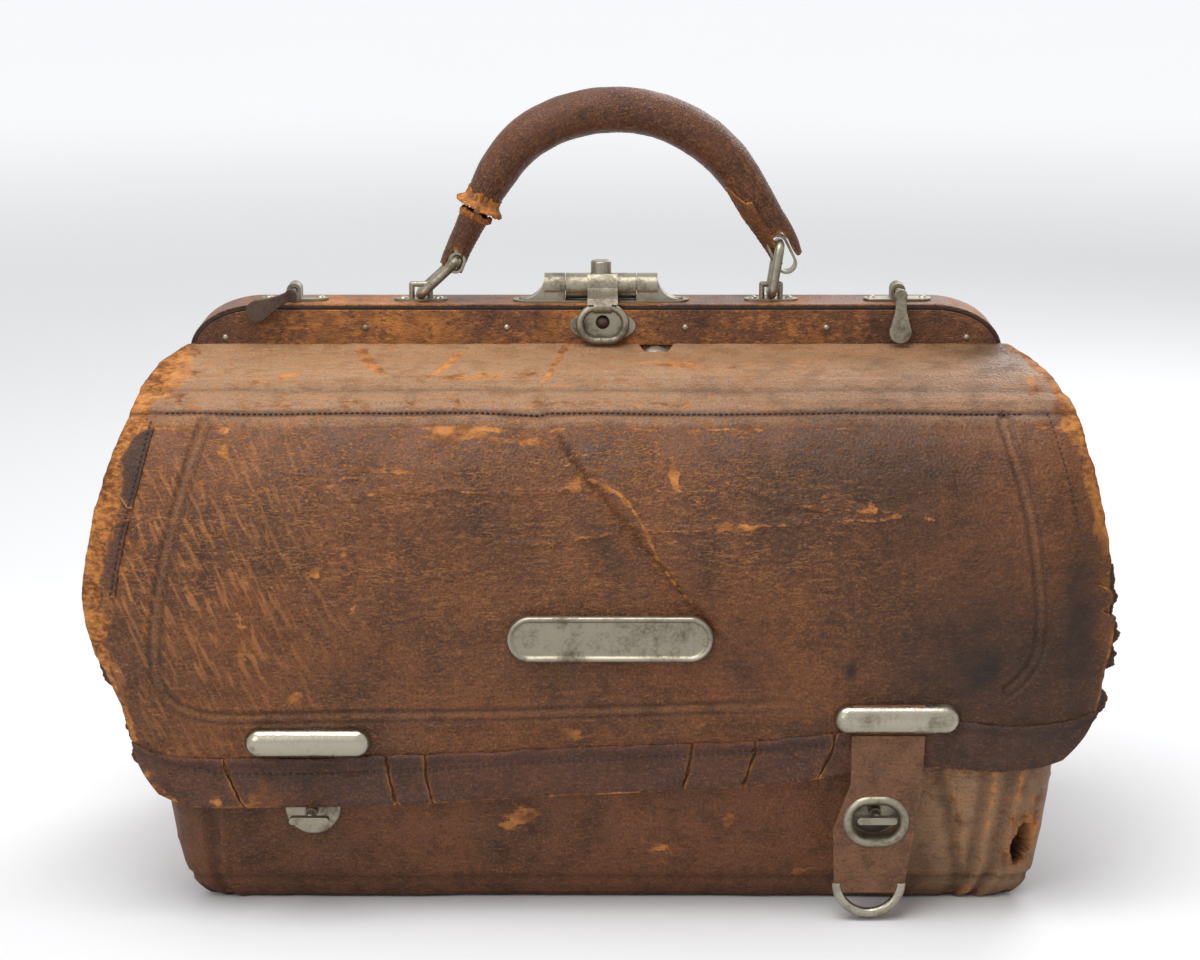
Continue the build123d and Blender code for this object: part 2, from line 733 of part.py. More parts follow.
def make_staples():
    """The riveted handle plates with their staples, and the dome rivets of plates and bridges."""
    top = frame_top + staple_plate
    arch_half = link_wire_r + 0.8 + staple_wire_r
    arch_z = link_z + link_wire_r + 0.5 + staple_wire_r
    for side, name in ((-1, "left"), (1, "right")):
        x = side * staple_x
        plate = Pos(x, 0) * SlotOverall(2 * staple_plate_half, staple_plate_w)
        staple = Pos(0, 0, frame_top) * extrude(plate, amount=staple_plate)
        for leg in (-1, 1):
            staple += rod_z(staple_wire_r, frame_top, arch_z, x + leg * arch_half, 0)
            staple += Pos(x + leg * arch_half, 0, arch_z) * Sphere(staple_wire_r)
        staple += rod_x(staple_wire_r, x - arch_half, x + arch_half, 0, arch_z)
        save(staple, f"handle_staple_{name}")
    heads = []
    for side in (-1, 1):
        for leg in (-1, 1):
            heads.append(Pos(side * staple_x + leg * staple_rivet, 0, top) * dome(rivet_r, rivet_dome))
            place = Pos(side * clasp_x + leg * bridge_rivet, 0, frame_top + bridge_wall)
            heads.append(place * dome(rivet_r, rivet_dome))
    save(Compound(children=heads), "plate_rivets")


def link_top(side, lean):
    """The centre of a link's upper bar."""
    angle = radians(lean)
    return side * staple_x + link_length * sin(angle), link_z + link_length * cos(angle)


def make_link(side, lean, name):
    """One wire link: a closed loop with rounded corners, standing along Y and leaning along X."""
    outline = RectangleRounded(2 * link_half_w, link_length, link_bend_r)
    path = Plane.YZ * (Pos(0, link_length / 2) * outline).wire()
    start = path @ 0
    circle = Plane(origin=start, z_dir=path % 0) * Circle(link_wire_r)
    loop = sweep(circle, path=path, transition=Transition.RIGHT)
    save(Pos(side * staple_x, 0, link_z) * Rot(0, lean, 0) * loop, name)


def end_loop(center, lean, slack, play, shift):
    """The bent strap end around a link's bar: a long loop, open along Y."""
    inner_r = link_wire_r + play
    length = slack + 2 * inner_r
    turned = Rot(0, 0, 90)
    hole = Pos(0, -slack / 2) * turned * SlotOverall(length, 2 * inner_r)
    wall = Pos(0, -slack / 2) * turned * SlotOverall(length + 2 * loop_wall, 2 * (inner_r + loop_wall))
    x, z = center
    place = Pos(x + shift, 0, z) * Rot(0, lean, 0)
    return place * from_front(wall, -loop_half_w, loop_half_w), place * from_front(
        hole, -loop_half_w - 1, loop_half_w + 1
    )


def make_handle():
    """The steel core strap with its loops, the leather grip and the two leather ends."""
    left = link_top(-1, link_left_lean)
    right = link_top(1, link_right_lean)
    chord = hypot(right[0] - left[0], right[1] - left[1])
    tilt = atan2(right[1] - left[1], right[0] - left[0])
    shape = (
        (0.0, 0.05),
        (0.088, 0.407),
        (0.215, 0.789),
        (0.4555, 0.99),
        (0.641, 0.937),
        (0.838, 0.638),
        (0.9705, 0.159),
        (1.0, 0.05),
    )
    points = []
    for along, up in shape:
        a = along * chord
        b = up * grip_rise
        points.append((left[0] + a * cos(tilt) - b * sin(tilt), 0, left[1] + a * sin(tilt) + b * cos(tilt)))
    line = Spline(*points)

    def across(t, width, depth):
        """A section of the handle, normal to its line: width in the bow's plane, depth along Y."""
        spot = line @ t
        return Plane(origin=spot, x_dir=(0, 1, 0), z_dir=line % t) * RectangleRounded(
            depth, width, min(width, depth) / 2 - 0.05
        )

    def flat(t):
        """The core strap's flat section."""
        spot = line @ t
        return Plane(origin=spot, x_dir=(0, 1, 0), z_dir=line % t) * Rectangle(
            2 * loop_half_w - 1, core_thickness
        )

    core = loft([flat(step / 10) for step in range(11)])
    turn = degrees(tilt)
    loops = (
        end_loop(left, loop_lean - turn, loop_left_slack, loop_left_play, 0),
        end_loop(right, -loop_lean - turn, loop_right_slack, loop_right_play, -1.1),
    )
    for wall, hole in loops:
        core += wall
    for wall, hole in loops:
        core -= hole
    save(core, "handle_core")
    spans = (
        (0.145, grip_end_r),
        (0.2, grip_end_r + 1.2),
        (0.3, grip_r),
        (0.4, grip_r),
        (0.5, grip_r),
        (0.6, grip_r),
        (0.7, grip_r),
        (0.8, grip_r - 0.5),
        (0.88, grip_end_r + 0.4),
    )
    grip = loft([across(t, 2 * r, 2 * r) for t, r in spans])
    save(grip - core, "handle_grip")
    end_left = loft([across(0.028, 9.0, 9.4), across(0.08, 12.0, 12.0), across(0.143, 13.5, 13.5)])
    save(end_left - core, "handle_end_left")
    end_right = loft([across(0.882, 17.4, 17.4), across(0.93, 14.5, 13.0), across(0.972, 12.0, 9.4)])
    for wall, hole in loops:
        end_right -= hole
    save(end_right - core, "handle_end_right")


bag = make_body()
pocket = make_pocket(bag)
make_frame()
make_lock()
make_clasps()
make_staples()
make_link(-1, link_left_lean, "handle_link_left")
make_link(1, link_right_lean, "handle_link_right")
make_handle()
make_flap()
make_strap()
make_turn_locks(pocket)
make_root_stud(bag)
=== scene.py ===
"""Dresses an old leather gladstone bag: its hides, stitching, worn edges and aged nickel fittings."""

import logging
import math
from dataclasses import dataclass
from enum import Enum
from typing import Sequence

import bmesh
import bpy
import numpy as np
from mathutils import Matrix, Vector, noise


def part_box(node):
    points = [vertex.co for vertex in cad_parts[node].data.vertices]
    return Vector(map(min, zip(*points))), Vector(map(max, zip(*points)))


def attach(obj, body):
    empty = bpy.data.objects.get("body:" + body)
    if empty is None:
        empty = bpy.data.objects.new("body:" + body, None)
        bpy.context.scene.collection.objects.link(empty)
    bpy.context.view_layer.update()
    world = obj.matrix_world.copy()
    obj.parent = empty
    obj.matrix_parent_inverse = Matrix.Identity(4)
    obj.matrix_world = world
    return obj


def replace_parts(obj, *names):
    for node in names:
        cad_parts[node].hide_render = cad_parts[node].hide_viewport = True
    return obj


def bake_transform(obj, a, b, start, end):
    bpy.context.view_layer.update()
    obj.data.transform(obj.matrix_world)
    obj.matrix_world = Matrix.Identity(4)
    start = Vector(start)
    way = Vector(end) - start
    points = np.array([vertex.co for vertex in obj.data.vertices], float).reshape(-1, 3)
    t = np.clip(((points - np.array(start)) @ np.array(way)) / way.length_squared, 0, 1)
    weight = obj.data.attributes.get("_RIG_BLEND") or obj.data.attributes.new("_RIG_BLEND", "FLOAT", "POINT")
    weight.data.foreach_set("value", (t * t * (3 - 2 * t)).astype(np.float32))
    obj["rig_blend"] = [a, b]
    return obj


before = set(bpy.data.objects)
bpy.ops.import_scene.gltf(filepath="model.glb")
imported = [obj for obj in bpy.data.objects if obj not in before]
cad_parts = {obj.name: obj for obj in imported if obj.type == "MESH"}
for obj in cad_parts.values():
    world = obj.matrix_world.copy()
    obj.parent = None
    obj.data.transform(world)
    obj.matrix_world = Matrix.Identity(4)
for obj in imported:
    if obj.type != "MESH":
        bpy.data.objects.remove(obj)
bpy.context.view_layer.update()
log = logging.getLogger("bag")

Pair = tuple[float, float]
Colour = tuple[float, float, float, float]
MM = 0.001


def srgb(red: int, green: int, blue: int) -> Colour:
    """A colour seen on screen, as the linear colour that a shader takes."""
    linear = [((c / 255 + 0.055) / 1.055) ** 2.4 if c > 10 else c / 255 / 12.92 for c in (red, green, blue)]
    return linear[0], linear[1], linear[2], 1.0


class Value:
    """A number that varies over a surface, combined with ordinary operators."""

    def __init__(self, paint: "Paint", source: bpy.types.NodeSocket) -> None:
        """Wraps one output socket.

        Args:
            paint: the material being painted.
            source: the socket that the number comes from.
        """
        self.paint = paint
        self.source = source

    def _math(self, operation: str, *terms: "Value | float") -> "Value":
        """Adds one Math node."""
        return self.paint.value("ShaderNodeMath", {"operation": operation}, terms)

    def __add__(self, other: "Value | float") -> "Value":
        """Sum."""
        return self._math("ADD", self, other)

    def __sub__(self, other: "Value | float") -> "Value":
        """Difference."""
        return self._math("SUBTRACT", self, other)

    def __rsub__(self, other: float) -> "Value":
        """Difference from a plain number."""
        return self._math("SUBTRACT", other, self)

    def __mul__(self, other: "Value | float") -> "Value":
        """Product."""
        return self._math("MULTIPLY", self, other)

    __radd__ = __add__
    __rmul__ = __mul__

    def step(self, low: float, high: float) -> "Value":
        """0 below low and 1 above high, with a smooth rise between; low may be the higher one."""
        return self.paint.value(
            "ShaderNodeMapRange",
            {"interpolation_type": "SMOOTHSTEP", "clamp": True},
            {"Value": self, "From Min": low, "From Max": high},
        )

    def line(self, width: float) -> "Value":
        """1 where noise crosses its middle, fading to 0 at this distance from it."""
        return self._math("ABSOLUTE", self - 0.5).step(width, 0.0)


class Paint:
    """Builds one material from nodes."""

    def __init__(self, name: str, laid: bool = False) -> None:
        """Starts an empty material.

        Args:
            name: the material's name.
            laid: whether it follows the unrolled hide rather than space.
        """
        self.material = bpy.data.materials.new(name)
        self.material.use_nodes = True
        self.tree = self.material.node_tree
        self.tree.nodes.clear()
        self.laid = laid
        if laid:
            self.place = self.node("ShaderNodeUVMap", {"uv_map": "lay"}, {}).outputs["UV"]
        else:
            self.place = self.node("ShaderNodeTexCoord", {}, {}).outputs["Object"]

    def node(self, kind: str, settings: dict, inputs: "dict | Sequence") -> bpy.types.Node:
        """Adds a node.

        Args:
            kind: the node's type.
            settings: its own settings, set before its sockets.
            inputs: values or links of its sockets, by name or in order.

        Returns:
            The new node.
        """
        made = self.tree.nodes.new(kind)
        for key, setting in settings.items():
            setattr(made, key, setting)
        pairs = inputs.items() if isinstance(inputs, dict) else enumerate(inputs)
        for key, given in pairs:
            source = getattr(given, "source", given)
            if isinstance(source, bpy.types.NodeSocket):
                self.tree.links.new(source, made.inputs[key])
            else:
                made.inputs[key].default_value = source
        return made

    def value(self, kind: str, settings: dict, inputs: "dict | Sequence", output: "str | int" = 0) -> Value:
        """Adds a node and gives one of its outputs as a value."""
        return Value(self, self.node(kind, settings, inputs).outputs[output])

    def mask(self, name: str) -> Value:
        """A mask that the mesh carries, 0 where it has none."""
        return self.value("ShaderNodeAttribute", {"attribute_name": name}, {}, "Fac")

    def long(self, wide: float, high: float, turn: float = 0.0) -> bpy.types.NodeSocket:
        """A place counted in lumps of this width and height in metres, turned in degrees."""
        angle = math.radians(turn)
        size = (wide, high, 1.0) if self.laid else (wide, wide, high)
        spin = (0.0, 0.0, angle) if self.laid else (0.0, angle, 0.0)
        sockets = {"Vector": self.place, "Scale": size, "Rotation": spin}
        return self.node("ShaderNodeMapping", {"vector_type": "TEXTURE"}, sockets).outputs[0]

    def cloud(self, size: float, detail: float = 3.0, rough: float = 0.55, at: object = None) -> Value:
        """Soft noise from 0 to 1 with lumps of about this size in metres."""
        sockets = {"Vector": at or self.place, "Scale": 1 / size, "Detail": detail, "Roughness": rough}
        plane = {"noise_dimensions": "2D" if self.laid else "3D"}
        return self.value("ShaderNodeTexNoise", plane, sockets, "Fac")

    def pebble(self, size: float) -> Value:
        """Distance from the middle of each grain of this size."""
        plane = {"voronoi_dimensions": "2D" if self.laid else "3D"}
        return self.value("ShaderNodeTexVoronoi", plane, {"Vector": self.place, "Scale": 1 / size}, "Distance")

    def mix(self, factor: "Value | float", low: object, high: object) -> Value:
        """A colour between two, by factor."""
        made = self.node("ShaderNodeMix", {"data_type": "RGBA"}, {0: factor, 6: low, 7: high})
        return Value(self, made.outputs[2])

    def bump(self, height: Value, depth: float) -> Value:
        """A normal from a height between 0 and 1, for a relief of this depth in metres."""
        return self.value("ShaderNodeBump", {}, {"Height": height, "Distance": depth, "Strength": 1.0})

    def surface(self, **sockets: object) -> bpy.types.Material:
        """Ends the material in a Principled BSDF whose sockets are given by name.

        Args:
            sockets: socket names with underscores for spaces, and their values or links.

        Returns:
            The finished material.
        """
        named = {key.replace("_", " "): given for key, given in sockets.items()}
        shader = self.node("ShaderNodeBsdfPrincipled", {}, named)
        self.node("ShaderNodeOutputMaterial", {}, {"Surface": Value(self, shader.outputs[0])})
        return self.material


@dataclass(frozen=True)
class Hide:
    """Old tanned leather: mottled brown, fissured, rubbed through to the tan suede below."""

    name: str
    brown: Colour = srgb(94, 60, 40)
    warm: Colour = srgb(109, 66, 40)
    dark: Colour = srgb(54, 36, 28)
    rubbed: Colour = srgb(200, 131, 66)
    stain_and_shade: Colour = srgb(42, 33, 29)
    pale: Colour = srgb(170, 137, 105)
    crack: Colour = srgb(180, 118, 66)
    rubbing: float = 0.0
    grain: float = 0.0016
    relief: float = 0.0006
    gloss: float = 0.4
    laid: bool = True

    def make(self) -> bpy.types.Material:
        """Builds the material.

        Returns:
            The finished leather.
        """
        paint = Paint(self.name, self.laid)
        shade = paint.cloud(0.08, 3.0, 0.6)
        mottle = paint.cloud(0.016, 5.0, 0.64)
        fleck = paint.cloud(1.0, 4.0, 0.75, paint.long(0.0045, 0.0024))
        fine = paint.cloud(0.0012, 2.0)
        fissure = paint.cloud(1.0, 4.0, 0.6, paint.long(0.024, 0.0044)).line(0.034)
        net = paint.cloud(1.0, 3.0, 0.55, paint.long(0.0072, 0.0032, 12.0)).line(0.04)
        board = paint.cloud(1.0, 3.0, 0.5, paint.long(0.0028, 0.017, 24.0)).step(0.5, 0.64) * paint.mask("board")
        colour = paint.mix(shade.step(0.35, 0.65), self.brown, self.warm)
        streak = paint.cloud(1.0, 4.0, 0.6, paint.long(0.03, 0.0026))
        # The pale mask lightens the hide; on the flap's upper band it is partly a painted top light.
        pale = paint.mask("pale")
        colour = paint.mix(pale * (0.42 + mottle * 0.7 + streak * 0.3), colour, self.pale)
        colour = paint.mix(pale * (streak + fleck * 0.6).step(0.82, 1.0) * 0.6, colour, self.crack)
        dirt = shade.step(0.52, 0.3) * 0.35 + mottle.step(0.46, 0.68) * 0.5
        colour = paint.mix(dirt * (1.0 - pale * 0.45), colour, self.dark)
        colour = paint.mix((fleck * 0.6 + fine * 0.6).step(0.6, 0.82) * 0.34, colour, self.crack)
        colour = paint.mix((fleck * 0.5 + fine * 0.7).step(0.58, 0.4) * (0.7 - pale * 0.35), colour, self.dark)
        broken = (fleck * 0.6 + mottle * 0.6).step(0.46, 0.66)
        cracked = (fissure + net * 0.6) * (paint.mask("crack") * 0.9 + 0.05) * broken
        colour = paint.mix(cracked * 0.85 + board * 0.6, colour, self.crack)
        # Stains, and painted shade where the mask carries it: the dent beside the flap's crease and the inside of the
        # pocket's hole.
        colour = paint.mix(paint.mask("stain_and_shade") * (0.3 + shade * 0.6 + mottle * 0.5), colour, self.stain_and_shade)
        # Ridges rub through to tan; along the flap's crease this is partly a painted highlight.
        worn = paint.mask("scuff") * 0.6 + paint.mask("ridge_wear_and_highlight") * 0.5 + shade * self.rubbing
        rubbed = (worn + mottle * 0.45 + fleck * 0.5).step(0.8, 0.92)
        colour = paint.mix(rubbed * 0.85, colour, paint.mix(mottle.step(0.35, 0.7), self.rubbed, self.warm))
        raw = paint.mask("raw")
        suede = paint.mix((fleck * 0.7 + mottle * 0.5).step(0.45, 0.75), self.rubbed, self.warm)
        colour = paint.mix(raw * (0.6 + mottle * 0.8), colour, suede)
        # Painted shade: darkens grooves, the sunk seam, the dents beside creases and the inside of the pocket's hole.
        colour = paint.mix(paint.mask("groove_shade") * 0.75, colour, self.dark)
        height = fleck * 0.3 + paint.pebble(self.grain) * 0.4 + fine * (0.25 + raw * 0.5)
        height = height - (fissure * 0.4 + net * 0.25) * broken - board * 0.6 - rubbed * 0.15
        rough = self.gloss - 0.16 + mottle * 0.2 + fleck * 0.2 + rubbed * 0.22 + raw * 0.35
        return paint.surface(
            Base_Color=colour,
            Roughness=rough,
            Normal=paint.bump(height, self.relief),
            Specular_IOR_Level=0.22,
        )


@dataclass(frozen=True)
class Nickel:
    """Nickel plate gone dull, with dark tarnish in patches and fine scratches."""

    name: str
    bright: Colour = srgb(146, 139, 122)
    tarnish: Colour = srgb(92, 81, 65)
    rough: float = 0.3
    spread: float = 0.5

    def make(self) -> bpy.types.Material:
        """Builds the material.

        Returns:
            The finished metal.
        """
        paint = Paint(self.name)
        patch = paint.cloud(0.014, 5.0, 0.62)
        pits = paint.cloud(0.0014, 3.0, 0.6)
        scratch = paint.cloud(1.0, 3.0, 0.6, paint.long(0.006, 0.0006, 25.0))
        dull = (patch * 0.85 + pits * 0.3).step(1.0 - self.spread, 1.3 - self.spread)
        return paint.surface(
            Base_Color=paint.mix(dull, self.bright, self.tarnish),
            Metallic=1.0 - dull * 0.3,
            Roughness=self.rough + dull * 0.3 + scratch * 0.12,
            Normal=paint.bump(pits * 0.5 + scratch * 0.3 + patch * 0.4, 0.00012),
        )


@dataclass(frozen=True)
class Plain:
    """A quiet finish for thread, pressed board and lacquered sheet."""

    name: str
    tone: Colour
    other: Colour
    rough: float = 0.8
    metallic: float = 0.0

    def make(self) -> bpy.types.Material:
        """Builds the material.

        Returns:
            The finished surface.
        """
        paint = Paint(self.name)
        fleck = paint.cloud(0.002, 5.0, 0.65)
        return paint.surface(
            Base_Color=paint.mix(fleck.step(0.35, 0.7), self.tone, self.other),
            Roughness=self.rough - fleck * 0.12,
            Metallic=self.metallic,
            Normal=paint.bump(fleck, 0.0001),
        )


class Finish(Enum):
    """Every finish of the bag."""

    FLAP = Hide("flap_hide")
    BODY = Hide("body_hide", srgb(100, 64, 44), srgb(114, 70, 46))
    HEM = Hide("hem_hide", srgb(88, 60, 50), srgb(102, 62, 44), srgb(54, 38, 35), gloss=0.42)
    FRAME = Hide(
        "frame_hide", srgb(92, 60, 44), srgb(122, 80, 52), srgb(52, 34, 28), rubbing=0.68, grain=0.0009, laid=False
    )
    GRIP = Hide("grip_hide", srgb(84, 53, 38), srgb(98, 60, 40), srgb(50, 32, 26), gloss=0.3, grain=0.0009)
    STRAP = Hide("strap_hide", srgb(106, 76, 58), srgb(118, 82, 58), rubbing=0.14, laid=False)
    LINING = Hide("suede_lining", srgb(116, 82, 56), srgb(130, 92, 60), srgb(80, 56, 40), gloss=0.8)
    NICKEL = Nickel("aged_nickel")
    BRIGHT = Nickel("rubbed_nickel", srgb(166, 159, 142), srgb(112, 103, 86), 0.16, 0.46)
    STUD = Nickel("dark_patina", srgb(88, 72, 62), srgb(50, 40, 35), 0.4)
    THREAD = Plain("waxed_thread", srgb(32, 22, 18), srgb(54, 36, 26), 0.7)
    BOARD = Plain("pressed_board", srgb(150, 122, 84), srgb(122, 96, 66), 0.9)
    STEEL = Plain("lacquered_steel", srgb(52, 44, 40), srgb(70, 58, 50), 0.5, 0.6)


class Wardrobe:
    """Makes each finish once and hands it out."""

    def __init__(self) -> None:
        """Starts with no material made."""
        self.made: dict[Finish, bpy.types.Material] = {}

    def __getitem__(self, finish: Finish) -> bpy.types.Material:
        """The material of a finish, made when it is first asked for."""
        if finish not in self.made:
            self.made[finish] = finish.value.make()
        return self.made[finish]


wardrobe = Wardrobe()


def lumps(points: np.ndarray, size: float, octaves: int = 3, seed: float = 0.0) -> np.ndarray:
    """Soft noise from about -1 to 1 at each point.

    Args:
        points: the points, one row each.
        size: how large the lumps are, in metres.
        octaves: how many finer layers it has.
        seed: picks another pattern.

    Returns:
        One number for each point.
    """
    shift = Vector((seed, 1.7 * seed, -seed))
    return np.array([noise.fractal(Vector(p) / size + shift, 1.0, 2.0, octaves) for p in points])


def smooth_step(value: np.ndarray, low: float, high: float) -> np.ndarray:
    """0 below low and 1 above high, with a smooth rise between."""
    share = np.clip((value - low) / (high - low), 0.0, 1.0)
    return share * share * (3.0 - 2.0 * share)


def bell(value: np.ndarray, width: float) -> np.ndarray:
    """1 at zero, falling away over a width."""
    return np.exp(-((value / width) ** 2))


def rounded_line(points: Sequence[Pair], count: int = 240) -> np.ndarray:
    """A natural cubic spline through the points, as many evenly spaced ones.

    Args:
        points: the points that it goes through.
        count: how many points to return.

    Returns:
        The line's points, one row each.
    """
    knots = np.array(points, float)
    gaps = np.hypot(*np.diff(knots, axis=0).T)
    at = np.concatenate([[0], np.cumsum(gaps)])
    system = np.eye(len(knots))
    pull = np.zeros_like(knots)
    for i in range(1, len(knots) - 1):
        before, after = gaps[i - 1], gaps[i]
        system[i, i - 1 : i + 2] = before, 2 * (before + after), after
        pull[i] = 6 * ((knots[i + 1] - knots[i]) / after - (knots[i] - knots[i - 1]) / before)
    bend = np.linalg.solve(system, pull)
    fine = np.linspace(0, at[-1], 40 * len(knots))
    spot = np.clip(np.searchsorted(at, fine, side="right") - 1, 0, len(gaps) - 1)
    gap = gaps[spot][:, None]
    left, right = (fine - at[spot])[:, None], (at[spot + 1] - fine)[:, None]
    line = (bend[spot] * right**3 + bend[spot + 1] * left**3) / (6 * gap)
    line += (knots[spot] / gap - bend[spot] * gap / 6) * right
    line += (knots[spot + 1] / gap - bend[spot + 1] * gap / 6) * left
    run = np.concatenate([[0], np.cumsum(np.hypot(*np.diff(line, axis=0).T))])
    even = np.linspace(0, run[-1], count)
    return np.column_stack([np.interp(even, run, line[:, 0]), np.interp(even, run, line[:, 1])])


def in_metres(points: Sequence[Pair], count: int = 90) -> np.ndarray:
    """A spline through points given in millimetres."""
    return rounded_line([(a * MM, b * MM) for a, b in points], count)


def distance_to(line: np.ndarray, x: np.ndarray, z: np.ndarray) -> np.ndarray:
    """How far each point lies from a line of points."""
    best = np.full(len(x), 1e3)
    for (x0, z0), (x1, z1) in zip(line, line[1:]):
        dx, dz = x1 - x0, z1 - z0
        share = np.clip(((x - x0) * dx + (z - z0) * dz) / (dx * dx + dz * dz + 1e-12), 0, 1)
        best = np.minimum(best, np.hypot(x - x0 - share * dx, z - z0 - share * dz))
    return best


@dataclass(frozen=True)
class Spot:
    """One worn or stained place on a hide, or a painted shade, seen from the front, in millimetres and degrees."""

    x: float
    z: float
    wide: float
    high: float
    turn: float = 0.0
    strength: float = 1.0

    def at(self, x: np.ndarray, z: np.ndarray) -> np.ndarray:
        """How strong the place is at each point, from 0 to its strength."""
        angle = math.radians(self.turn)
        dx, dz = x - self.x * MM, z - self.z * MM
        along = (dx * math.cos(angle) + dz * math.sin(angle)) / (self.wide * MM)
        across = (dz * math.cos(angle) - dx * math.sin(angle)) / (self.high * MM)
        return self.strength * np.exp(-(along**2 + across**2))


def spread(spots: Sequence[Spot], x: np.ndarray, z: np.ndarray) -> np.ndarray:
    """The strongest of several places at each point."""
    return np.max([spot.at(x, z) for spot in spots], axis=0)


class Skin:
    """A leather skin: a fine grid laid over a curved surface, with relief and worn places."""

    def __init__(self, columns: int, rows: int) -> None:
        """Makes the flat grid.

        Args:
            columns: cells across.
            rows: cells down.
        """
        self.shape = bmesh.new()
        bmesh.ops.create_grid(self.shape, x_segments=columns, y_segments=rows, size=0.5)
        flat = np.array([vertex.co for vertex in self.shape.verts])
        low, high = flat.min(0), flat.max(0)
        self.u = (flat[:, 0] - low[0]) / (high[0] - low[0])
        self.v = (high[1] - flat[:, 1]) / (high[1] - low[1])
        self.lie = flat[:, :2]
        self.masks: dict[str, np.ndarray] = {}

    def lay(self, points: np.ndarray, across: np.ndarray, up: np.ndarray) -> None:
        """Moves every vertex to its point.

        Args:
            points: where the vertices go.
            across: their places across the unrolled hide, in metres.
            up: their places up the unrolled hide, in metres.
        """
        for vertex, point in zip(self.shape.verts, points):
            vertex.co = point
        self.lie = np.column_stack([across, up])

    def mask(self, **strengths: np.ndarray) -> None:
        """Keeps masks for the material, from 0 to 1 at each vertex."""
        for name, strength in strengths.items():
            self.masks[name] = np.clip(strength * np.ones(len(self.u)), 0.0, 1.0)

    def rim(self, depth: float) -> None:
        """Turns the free border inwards by the hide's thickness, as a cut edge of raw leather."""
        self.shape.normal_update()
        self.shape.verts.index_update()
        border = [edge for edge in self.shape.edges if edge.is_boundary]
        turned = bmesh.ops.extrude_edge_only(self.shape, edges=border)["geom"]
        fresh = [item for item in turned if isinstance(item, bmesh.types.BMVert)]
        sources = []
        for vertex in fresh:
            near = next(edge.other_vert(vertex) for edge in vertex.link_edges if not edge.is_boundary)
            vertex.co = near.co - near.normal * depth
            sources.append(near.index)
        for name, strength in self.masks.items():
            edge_value = 1.0 if name == "raw" else 0.0
            self.masks[name] = np.concatenate([strength, np.full(len(fresh), edge_value)])
        self.lie = np.vstack([self.lie, self.lie[sources] + 0.002])

    def store(self) -> None:
        """Writes the masks and the unrolled places into the mesh."""
        for name in self.masks:
            self.shape.verts.layers.float.new(name)
        lie = self.shape.loops.layers.uv.new("lay")
        self.shape.verts.index_update()
        for name, strength in self.masks.items():
            layer = self.shape.verts.layers.float[name]
            for vertex, value in zip(self.shape.verts, strength.tolist()):
                vertex[layer] = value
        places = self.lie.tolist()
        for face in self.shape.faces:
            for loop in face.loops:
                loop[lie].uv = places[loop.vert.index]

    def piece(self, name: str, finish: Finish, body: str, depth: float = 0.0) -> bpy.types.Object:
        """Ends the skin as an object that rides on a body.

        Args:
            name: the piece's name.
            finish: what it is covered with.
            body: the body it rides on, or nothing.
            depth: the hide's thickness, given inwards.

        Returns:
            The object.
        """
        self.store()
        bmesh.ops.remove_doubles(self.shape, verts=self.shape.verts[:], dist=1e-6)
        made = finished(name, self.shape, finish)
        if depth:
            wall = made.modifiers.new("thickness", "SOLIDIFY")
            wall.thickness = depth
            wall.offset = -1.0
        if body:
            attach(made, body)
        return made


def finished(name: str, shape: bmesh.types.BMesh, finish: Finish) -> bpy.types.Object:
    """Turns a shape into a smooth object with its material.

    Args:
        name: the piece's name.
        shape: the shape, which is freed.
        finish: what it is made of.

    Returns:
        The object, which rides on nothing yet.
    """
    mesh = bpy.data.meshes.new(name)
    shape.to_mesh(mesh)
    shape.free()
    mesh.materials.append(wardrobe[finish])
    mesh.polygons.foreach_set("use_smooth", [True] * len(mesh.polygons))
    made = bpy.data.objects.new(name, mesh)
    bpy.context.scene.collection.objects.link(made)
    log.info("%s: %d faces", name, len(mesh.polygons))
    return made


def softened(node: str, finish: Finish, body: str, round_by: float = 0.4) -> bpy.types.Object:
    """A copy of a fitting with its edges rounded, which stands for the plain one.

    Args:
        node: the fitting's node.
        finish: what it is made of.
        body: the body that it moves with.
        round_by: the radius of its edges, in millimetres.

    Returns:
        The rounded piece.
    """
    shape = bmesh.new()
    shape.from_mesh(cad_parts[node].data)
    bmesh.ops.remove_doubles(shape, verts=shape.verts[:], dist=2e-6)
    flat = math.radians(1.5)
    bmesh.ops.dissolve_limit(shape, angle_limit=flat, verts=shape.verts[:], edges=shape.edges[:])
    made = finished(f"{node}_worn", shape, finish)
    edge = made.modifiers.new("worn_edges", "BEVEL")
    edge.width = round_by * MM
    edge.segments = 3
    edge.limit_method = "ANGLE"
    edge.angle_limit = math.radians(38)
    even = made.modifiers.new("even_shading", "WEIGHTED_NORMAL")
    even.keep_sharp = False
    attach(made, body)
    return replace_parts(made, node)


